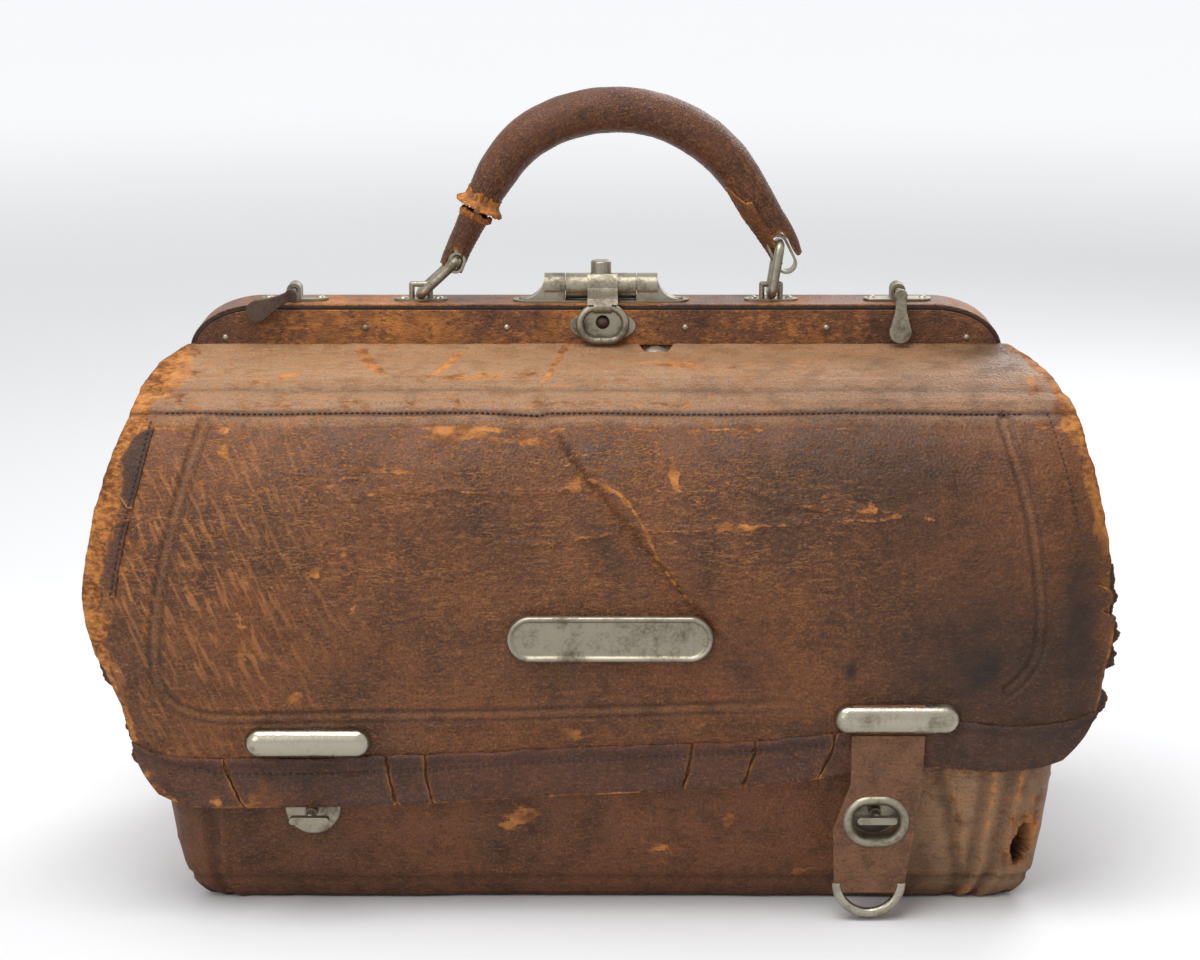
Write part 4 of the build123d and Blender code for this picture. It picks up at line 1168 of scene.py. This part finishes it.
@dataclass
class Body:
    """The bag's own walls and its sole."""

    walls: Shell = Shell(
        (
            (0.5, -199, 213, -84, 94, 20),
            (40, -202.5, 216, -88, 98, 22),
            (90, -208, 220, -91.5, 100, 24),
            (150, -218, 227, -92, 98, 24),
            (200, -219, 226, -86.5, 88, 22),
            (228, -216, 221, -72, 74, 18),
            (243, -213, 216, -50, 52, 14),
            (252, -208.5, 209, -26.5, 28, 10),
            (256.5, -205, 205, -18.6, 19.5, 7),
            (261.2, -202, 202, -15.2, 15.2, 5),
        )
    )

    def build(self) -> None:
        """Makes the walls and the sole."""
        skin = Skin(380, 130)
        z = 0.0005 + (0.2612 - 0.0005) * (1 - skin.v)
        around = self.walls.around(skin.u, z)
        x, y, out_x, out_y, walked = around
        spots = np.column_stack([x, y, z])
        soft = lumps(spots, 0.09, 2, 41.0)
        fine = lumps(spots, 0.014, 4, 42.0)
        fold = np.clip(1 - np.abs(lumps(spots * np.array([1.2, 1.2, 0.5]), 0.05, 3, 43.0)) * 2.4, 0, 1) ** 3
        calm = 1 - smooth_step(z, 0.235, 0.25)
        hollow = bell(y - 0.004, 0.03) * smooth_step(z, 0.05, 0.16) * calm * (np.abs(out_x) > 0.7)
        height = calm * (0.0018 * soft + 0.0006 * fold) + 0.0002 * fine - 0.012 * hollow - 0.0012 * (1 - calm)
        seam = np.zeros(len(z))
        for at in (-0.184, 0.192):
            seam = np.maximum(seam, bell(x - at + 0.0008 * soft, 0.0016) * (np.abs(out_y) > 0.5) * (z < 0.254))
        welt = np.maximum(seam, bell(z - 0.017, 0.0014))
        skin.lay(self.walls.turned_in(around, z, height + 0.0016 * welt), walked, z)
        skin.mask(
            scuff=0.75 * welt * smooth_step(fine, -0.3, 0.3) + 0.25 * fold,
            # Painted shade in a line under the welt.
            groove_shade=0.7 * bell(z - 0.0135, 0.0012),
            stain_and_shade=0.15 + 0.3 * soft,
            ridge_wear_and_highlight=fold * 0.34,
            crack=0.3 + 0.3 * soft,
        )
        made = skin.piece("body_walls", Finish.BODY, "bag")
        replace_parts(made, "front_panel", "rear_panel", "gusset_left", "gusset_right")
        self.sole()

    def sole(self) -> None:
        """The flat sole with its turned edge."""
        shape = bmesh.new()
        bmesh.ops.create_circle(shape, cap_ends=True, segments=160, radius=1.0)
        around = np.array([math.atan2(v.co.y, v.co.x) % (2 * math.pi) / (2 * math.pi) for v in shape.verts])
        x, y, _, _, _ = self.walls.around((around + 0.75) % 1.0, np.full(len(around), 0.0005))
        for vertex, sx, sy in zip(shape.verts, x, y):
            vertex.co = ((sx - 0.007) * 0.953 + 0.007, (sy - 0.005) * 0.957 + 0.005, 0.0004)
        bmesh.ops.inset_region(shape, faces=shape.faces[:], thickness=0.004, depth=0.0)
        bmesh.ops.recalc_face_normals(shape, faces=shape.faces[:])
        downward = [face for face in shape.faces if face.normal.z > 0]
        bmesh.ops.reverse_faces(shape, faces=downward)
        made = finished("sole", shape, Finish.FRAME)
        wall = made.modifiers.new("thickness", "SOLIDIFY")
        wall.thickness = 0.002
        wall.offset = -1.0
        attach(made, "bag")
        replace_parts(made, "bottom_panel")


@dataclass
class Pocket:
    """The outside pocket under the flap, torn open at its lower right corner."""

    walls: Shell = Shell(
        (
            (0.8, -203, 217, -100, 40, 16),
            (25, -206, 218.5, -106.5, 40, 18),
            (50, -208, 220, -112.2, 40, 20),
            (80, -211, 222.5, -116, 40, 22),
            (110, -215, 225, -118.6, 40, 24),
            (150, -220, 228, -117.6, 40, 24),
            (180, -222, 228, -113.4, 40, 24),
            (205, -223, 227, -105.6, 40, 22),
        )
    )
    torn: Spot = Spot(207.0, 31.0, 6.0, 15.0, -8)
    scuffs: tuple[Spot, ...] = (
        Spot(-37, 46, 12, 7, 20, 0.75),
        Spot(31, 29, 10, 4, 0, 0.6),
        Spot(64, 44, 3, 8, -15, 0.8),
        Spot(-100, 36, 5, 3, 0, 0.5),
        Spot(100, 16, 12, 4, 10, 0.7),
        Spot(-192, 16, 10, 16, 0, 0.5),
        Spot(212, 40, 6, 26, 0, 0.7),
        Spot(70, 9, 60, 3, 0, 0.4),
    )

    def build(self) -> None:
        """Makes the pocket's wall and its floor."""
        skin = Skin(360, 120)
        z = 0.0008 + (0.205 - 0.0008) * (1 - skin.v)
        around = self.walls.around(0.143 + 0.424 * skin.u, z)
        x, y, out_x, out_y, walked = around
        spots = np.column_stack([x, y, z])
        soft = lumps(spots, 0.07, 2, 51.0)
        fine = lumps(spots, 0.012, 4, 52.0)
        ragged = lumps(spots, 0.006, 4, 54.0)
        fold = np.clip(1 - np.abs(lumps(spots * np.array([0.6, 1.0, 1.2]), 0.04, 3, 53.0)) * 2.4, 0, 1) ** 3
        front = (np.abs(out_y) > 0.3) * (z < 0.19)
        crease = np.zeros(len(z))
        dent = np.zeros(len(z))
        for at, lean in ((-0.1805, 0.0), (0.178, -0.22), (0.1885, 0.1), (0.1995, 0.14)):
            gap = x - at - lean * (z - 0.03) + 0.0018 * soft + 0.0006 * ragged
            crease = np.maximum(crease, bell(gap, 0.0024) * front)
            dent = np.maximum(dent, bell(gap + 0.0052, 0.0028) * front)
        hole = (self.torn.at(x, z) + 0.2 * ragged) * (y < -0.06)
        inside = smooth_step(hole, 0.5, 0.62)
        lips = smooth_step(hole, 0.24, 0.48) * (1 - inside)
        height = 0.0013 * soft + 0.00025 * fine + 0.0005 * fold + 0.0016 * crease - 0.0016 * dent
        height += 0.0014 * lips * (1 + ragged) - 0.009 * inside - 0.0012 * bell(z - 0.012, 0.0013)
        points = self.walls.turned_in(around, z, height)
        points[:, 1] = np.minimum(points[:, 1], -0.079)
        left, right, face, _, radius = Body.walls.sizes(z)
        reach = np.sqrt(np.clip(radius**2 - (points[:, 1] - face - radius) ** 2, 0, None))
        joined = np.where(x > 0, right - radius + reach, left + radius - reach)
        points[:, 0] += (joined - points[:, 0]) * smooth_step(points[:, 1], -0.099, -0.08)
        skin.lay(points, walked, z)
        skin.mask(
            raw=0.8 * lips,
            scuff=spread(self.scuffs, x, z) + 0.62 * crease * (x > 0) + 0.7 * smooth_step(z, 0.2, 0.205),
            # Painted shade in the sunk line at the foot, in the dents beside the creases and inside the hole.
            groove_shade=0.7 * bell(z - 0.012, 0.0011) + inside + 0.65 * dent,
            # Darker towards the bottom, with the hole's inside darkened as painted shade.
            stain_and_shade=0.1 + 0.25 * soft + 0.5 * np.exp(-z / 0.008) + inside,
            ridge_wear_and_highlight=fold * 0.36,
            crack=0.25 + 0.3 * soft,
            pale=0.8 * smooth_step(x, 0.1, 0.18) * (1 - inside) * (1 - 0.7 * smooth_step(z, 0.06, 0.11)),
        )
        made = skin.piece("pocket_wall", Finish.BODY, "bag", 0.0026)
        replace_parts(made, "pocket_panel", "pocket_gusset_left", "pocket_gusset_right", "pocket_floor")
        self.floor()

    def floor(self) -> None:
        """The strip that closes the pocket's foot."""
        skin = Skin(120, 6)
        x = -0.182 + 0.378 * skin.u
        y = -0.0985 + 0.02 * skin.v
        skin.lay(np.column_stack([x, y, 0.0022 + 0.0006 * np.sin(skin.v * math.pi)]), x, y)
        skin.mask(stain_and_shade=np.full(len(x), 0.4))
        skin.piece("pocket_foot", Finish.BODY, "bag", 0.002)


@dataclass(frozen=True)
class Tube:
    """One leather tube along the handle: rings by share of the way, radius in its plane and across it."""

    name: str
    rings: tuple[tuple[float, float, float], ...]
    cells: tuple[int, int]
    node: str = ""
    ragged: float = 0.0012
    raw: float = 0.0
    notch_start: float = 0.0
    notch_end: float = 0.0
    point_start: float = 0.0
    arc: Pair = (0.0, 360.0)


@dataclass
class Handle:
    """The rolled grip over its steel core, torn open at its left end and peeled at its right one."""

    pivot_left: Pair = (-69.6, 301.6)
    pivot_right: Pair = (91.8, 309.4)
    rise: float = 71.5
    bow: tuple[Pair, ...] = (
        (0.0, 0.05),
        (0.088, 0.407),
        (0.215, 0.789),
        (0.4555, 0.99),
        (0.641, 0.937),
        (0.838, 0.638),
        (0.9705, 0.159),
        (1.0, 0.05),
    )
    beyond: float = 0.1
    splay: Pair = (21.2, 26.8)
    tubes: tuple[Tube, ...] = (
        Tube(
            "handle_grip_hide",
            (
                (0.132, 8.4, 8.4),
                (0.16, 9.2, 9.2),
                (0.2, 10.2, 10.2),
                (0.3, 11.3, 11.3),
                (0.7, 11.3, 11.3),
                (0.8, 10.8, 10.7),
                (0.88, 9.8, 9.4),
                (0.94, 9.0, 7.8),
                (0.99, 8.4, 6.1),
                (1.03, 8.0, 5.8),
                (1.056, 7.0, 5.7),
            ),
            (96, 340),
            "handle_grip",
            notch_end=0.066,
        ),
        Tube(
            "handle_torn_collar",
            ((0.112, 12.6, 12.0), (0.12, 11.4, 11.2), (0.128, 9.6, 9.6), (0.145, 9.3, 9.3)),
            (110, 26),
            ragged=0.006,
            raw=1.0,
        ),
        Tube(
            "handle_sleeve_left",
            ((-0.036, 6.0, 5.7), (0.01, 6.3, 5.7), (0.05, 6.8, 6.3), (0.094, 7.6, 7.8)),
            (84, 70),
            "handle_end_left",
            ragged=0.004,
            notch_start=0.042,
        ),
        Tube(
            "handle_torn_lip",
            ((0.084, 7.4, 7.6), (0.092, 8.4, 8.6), (0.1, 8.0, 8.2)),
            (84, 16),
            ragged=0.005,
            raw=1.0,
        ),
        Tube(
            "handle_tongue",
            ((0.895, 10.5, 10.3), (0.94, 9.9, 8.8), (0.99, 9.2, 6.9), (1.03, 8.6, 6.1), (1.05, 8.0, 5.9)),
            (50, 46),
            "handle_end_right",
            ragged=0.002,
            raw=0.25,
            notch_end=0.06,
            point_start=0.06,
            arc=(175.0, 85.0),
        ),
    )

    def build(self) -> None:
        """Makes the grip and both of its ends."""
        (x0, z0), (x1, z1) = self.pivot_left, self.pivot_right
        chord, tilt = math.hypot(x1 - x0, z1 - z0), math.atan2(z1 - z0, x1 - x0)
        points = []
        for along, up in self.bow:
            a, b = along * chord, up * self.rise
            points.append((x0 + a * math.cos(tilt) - b * math.sin(tilt), z0 + a * math.sin(tilt) + b * math.cos(tilt)))
        line = in_metres(points, 401)
        reach = self.beyond * np.hypot(*np.diff(line, axis=0).T).sum()
        lean = np.radians(self.splay)
        first = line[0] - reach * np.array([math.sin(lean[0]), math.cos(lean[0])])
        last = line[-1] + reach * np.array([math.sin(lean[1]), -math.cos(lean[1])])
        self.line = np.vstack([first, line, last])
        self.run = np.concatenate([[-self.beyond], np.linspace(0, 1, 401), [1 + self.beyond]])
        slope = np.gradient(self.line, self.run, axis=0)
        slope /= np.hypot(*slope.T)[:, None]
        self.normal = np.column_stack([-slope[:, 1], slope[:, 0]])
        for tube in self.tubes:
            self.wrap(tube)

    def wrap(self, tube: Tube) -> None:
        """Lays one leather tube along the handle's line."""
        skin = Skin(*tube.cells)
        first, last = tube.rings[0][0], tube.rings[-1][0]
        turn = np.radians(tube.arc[0] + tube.arc[1] * skin.u)
        seed = 61.0 + 3 * len(tube.name)
        ring = np.column_stack([np.cos(turn), np.sin(turn), np.zeros(len(turn))])
        ragged = lumps(ring, 0.4, 4, seed)
        over = smooth_step(np.abs(np.sin(turn)), 0.72, 0.98)
        starts = first + tube.notch_start * over - tube.point_start * bell(skin.u - 0.45, 0.2) + tube.ragged * ragged
        ends = last - tube.notch_end * over - tube.ragged * lumps(ring, 0.4, 4, seed + 1)
        share = starts + (ends - starts) * skin.v
        shares, wides, deeps = zip(*tube.rings)
        wide, deep = np.interp(share, shares, wides) * MM, np.interp(share, shares, deeps) * MM
        x, z = (np.interp(share, self.run, self.line[:, i]) for i in (0, 1))
        nx, nz = (np.interp(share, self.run, self.normal[:, i]) for i in (0, 1))
        spots = np.column_stack([x + 0.3 * np.cos(turn) * wide, np.sin(turn) * deep, z])
        fine, soft = lumps(spots, 0.006, 4, 62.0), lumps(spots, 0.03, 2, 63.0)
        wrinkle = 0.5 * np.sin(share * 700 + 5 * soft + 3 * fine) + 0.3 * np.sin(share * 1250 + 7 * fine)
        bent = smooth_step(np.abs(share - 0.5), 0.24, 0.36) + 0.4 * (np.cos(turn) < -0.3)
        seam = bell(np.abs(turn - math.pi), 0.09) * (tube.raw == 0)
        border = np.minimum(np.abs(share - starts), np.abs(ends - share)) * 0.23
        lift = 0.00018 * fine + 0.0003 * soft + 0.0001 * wrinkle * (0.3 + bent) - 0.0005 * seam
        lift += tube.raw * (0.0008 * fine + 0.0012 * ragged * np.exp(-border / 0.002))
        side, height = np.sin(turn) * (deep + lift), np.cos(turn) * (wide + lift)
        points = np.column_stack([x + nx * height, side, z + nz * height])
        skin.lay(points, share * 0.232, turn * 0.011)
        worn = Spot(-61, 366, 5, 3.4, 60).at(x, z) + Spot(-53, 372, 5, 2.6, 50, 0.9).at(x, z)
        worn = worn + 0.9 * Spot(77, 372, 5, 3.4, -40).at(x, z)
        worn = worn * (np.cos(turn) > 0.3) + 0.35 * smooth_step(fine, 0.1, 0.6) * smooth_step(share, 0.75, 0.9)
        tips = np.exp(-border / 0.0009)
        skin.mask(
            scuff=1.2 * worn + 0.7 * np.exp(-border / 0.002) + tube.raw * 0.5,
            raw=tips * smooth_step(ragged, -0.9, 0.0) + tube.raw * smooth_step(ragged + fine, -1.2, 0.3),
            # Painted shade along the sunk seam.
            groove_shade=seam * 0.7,
            stain_and_shade=0.15 + 0.3 * soft,
            crack=0.2 + 0.4 * bent,
        )
        made = skin.piece(tube.name, Finish.GRIP, "handle", 0.0012)
        if tube.node:
            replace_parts(made, tube.node)


class Fittings:
    """The metal fittings and the strap, with the edges of handled metal and leather."""

    worn: dict[Finish, dict[str, tuple[str, float]]] = {
        Finish.NICKEL: {
            "lock_case": ("bag", 0.45),
            "lock_hasp": ("hasp", 0.45),
            "lock_button": ("button", 0.35),
            "lock_escutcheon": ("bag", 0.25),
            "clasp_bridge_left": ("bag", 0.4),
            "clasp_bridge_right": ("bag", 0.4),
            "clasp_lever_right": ("clasp_right", 1.2),
            "turn_base_left": ("bag", 0.4),
            "turn_base_right": ("bag", 0.4),
            "turn_button_left": ("turn_left", 0.8),
            "turn_button_right": ("turn_right", 0.8),
            "handle_core": ("handle", 0.3),
        },
        Finish.STUD: {"clasp_lever_left": ("clasp_left", 1.2)},
    }
    straps: dict[str, str] = {"closing_strap": "strap", "strap_root": "flap"}
    covers: tuple[str, ...] = ("rear_jaw_cover", "front_jaw_cover")
    domed: tuple[Pair, ...] = (
        (0.0, 0.0),
        (0.0, 0.25),
        (0.3, 0.46),
        (0.9, 0.64),
        (1.8, 0.79),
        (3.0, 0.9),
        (4.4, 0.97),
        (5.8, 1.0),
        (6.8, 1.0),
    )
    ringed: tuple[Pair, ...] = (
        (0.0, 0.0),
        (0.0, 0.3),
        (0.35, 0.6),
        (1.1, 0.85),
        (2.2, 0.98),
        (3.2, 1.0),
        (4.4, 0.9),
        (5.3, 0.66),
        (5.8, 0.4),
        (6.0, 0.0),
    )
    rimmed: tuple[Pair, ...] = (
        (0.0, 0.0),
        (0.1, 0.45),
        (0.5, 0.85),
        (1.2, 1.0),
        (2.0, 0.96),
        (2.8, 0.66),
        (3.3, 0.5),
        (4.4, 0.5),
    )
    kept: dict[Finish, tuple[str, ...]] = {
        Finish.NICKEL: (
            "lock_ring",
            "lock_spindle",
            "lock_screws",
            "handle_link_left",
            "handle_link_right",
            "handle_staple_left",
            "handle_staple_right",
            "plate_rivets",
            "band_rivets",
            "root_stud",
            "hinge_rivet_left",
            "hinge_rivet_right",
        ),
        Finish.BRIGHT: ("strap_tip",),
        Finish.STUD: ("lock_stud",),
        Finish.STEEL: ("rear_jaw", "front_jaw"),
        Finish.BOARD: ("base_board",),
    }

    def build(self) -> None:
        """Rounds and dresses every fitting, and dresses the nodes that stay as they are."""
        for finish, group in self.worn.items():
            for node, (body, round_by) in group.items():
                softened(node, finish, body, round_by)
        for node, body in self.straps.items():
            softened(node, Finish.STRAP, body, 0.6)
        for node in self.covers:
            softened(node, Finish.FRAME, "bag", 0.35)
        pressed("keeper_left", Finish.BRIGHT, "flap", self.domed, 1.2)
        pressed("keeper_right", Finish.BRIGHT, "flap", self.domed, 1.2)
        pressed("name_plate", Finish.NICKEL, "flap", self.rimmed, 1.6)
        pressed("strap_eyelet", Finish.NICKEL, "strap", self.ringed, 0.4)
        for finish, nodes in self.kept.items():
            for node in nodes:
                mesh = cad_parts[node].data
                mesh.materials.clear()
                mesh.materials.append(wardrobe[finish])
                log.info("%s keeps its shape", node)


@dataclass
class Studio:
    """The camera at the photograph's angle, a pale floor and soft lamps."""

    eye: tuple[float, float, float] = (0.002, -1.45, 0.52)
    pitch: float = 12.9
    lens: float = 87.4
    seeing: tuple[str, ...] = ("Is Camera Ray", "Is Glossy Ray", "Is Transmission Ray")

    def camera(self) -> None:
        """Sets the camera."""
        lens = bpy.data.cameras.new("camera")
        lens.lens = self.lens
        lens.clip_end = 100.0
        camera = bpy.data.objects.new("camera", lens)
        camera.location = self.eye
        camera.rotation_euler = (math.radians(90.0 - self.pitch), 0.0, 0.0)
        bpy.context.scene.collection.objects.link(camera)
        bpy.context.scene.camera = camera

    def lamp(self, name: str, place: Sequence[float], size: float, power: float) -> None:
        """Adds a square soft lamp that faces the bag."""
        light = bpy.data.lights.new(name, "AREA")
        light.size = size
        light.energy = power
        lamp = bpy.data.objects.new(name, light)
        lamp.location = place
        lamp.rotation_euler = (Vector((0.0, 0.0, 0.16)) - Vector(place)).to_track_quat("-Z", "Y").to_euler()
        bpy.context.scene.collection.objects.link(lamp)

    def build(self) -> None:
        """Adds the floor, the lamps and the pale surroundings."""
        bpy.context.scene.view_settings.view_transform = "Standard"
        shape = bmesh.new()
        bmesh.ops.create_circle(shape, cap_ends=True, segments=64, radius=14.0)
        floor = finished("floor", shape, Finish.BOARD)
        floor.data.materials[0] = self.pale_floor()
        self.lamp("overhead", (-0.25, -0.35, 1.7), 1.3, 26.0)
        self.lamp("front", (-0.9, -1.5, 0.9), 1.0, 7.0)
        self.lamp("rear", (0.6, 1.1, 1.1), 0.8, 9.0)
        self.surroundings()

    def pale_floor(self) -> bpy.types.Material:
        """A pale floor that fades to white far behind the bag."""
        paint = Paint("pale_floor")
        tone = paint.mix(paint.cloud(0.4), (0.78, 0.79, 0.81, 1.0), (0.82, 0.83, 0.85, 1.0))
        away = paint.value("ShaderNodeVectorMath", {"operation": "LENGTH"}, [paint.place], "Value")
        rays = [paint.value("ShaderNodeLightPath", {}, {}, ray) for ray in self.seeing]
        seen = rays[0] + rays[1] + rays[2]
        far = paint.mix(away.step(0.5, 4.0) * seen, (0.0, 0.0, 0.0, 1.0), (0.52, 0.53, 0.55, 1.0))
        return paint.surface(Base_Color=tone, Roughness=0.7, Emission_Color=far, Emission_Strength=1.0)

    def surroundings(self) -> None:
        """A pale world: white to the camera, softer as light."""
        world = bpy.data.worlds.new("pale_room")
        bpy.context.scene.world = world
        world.use_nodes = True
        nodes, links = world.node_tree.nodes, world.node_tree.links
        nodes.clear()
        seen, soft = nodes.new("ShaderNodeBackground"), nodes.new("ShaderNodeBackground")
        seen.inputs["Color"].default_value = (0.97, 0.98, 1.0, 1.0)
        soft.inputs["Color"].default_value = (1.0, 0.98, 0.95, 1.0)
        soft.inputs["Strength"].default_value = 0.42
        path, mix = nodes.new("ShaderNodeLightPath"), nodes.new("ShaderNodeMixShader")
        output = nodes.new("ShaderNodeOutputWorld")
        any_ray = path.outputs[self.seeing[0]]
        for ray in self.seeing[1:]:
            both = nodes.new("ShaderNodeMath")
            both.use_clamp = True
            links.new(any_ray, both.inputs[0])
            links.new(path.outputs[ray], both.inputs[1])
            any_ray = both.outputs[0]
        links.new(any_ray, mix.inputs[0])
        links.new(soft.outputs[0], mix.inputs[1])
        links.new(seen.outputs[0], mix.inputs[2])
        links.new(mix.outputs[0], output.inputs[0])


def main() -> None:
    """Builds every sub-assembly in order."""
    logging.basicConfig(level=logging.INFO, format="%(message)s")
    studio = Studio()
    studio.camera()
    for part in (Body(), Pocket(), Flap(), Handle(), Fittings()):
        part.build()
        log.info("%s is dressed", type(part).__name__)
    studio.build()


if __name__ == "__main__":
    main()
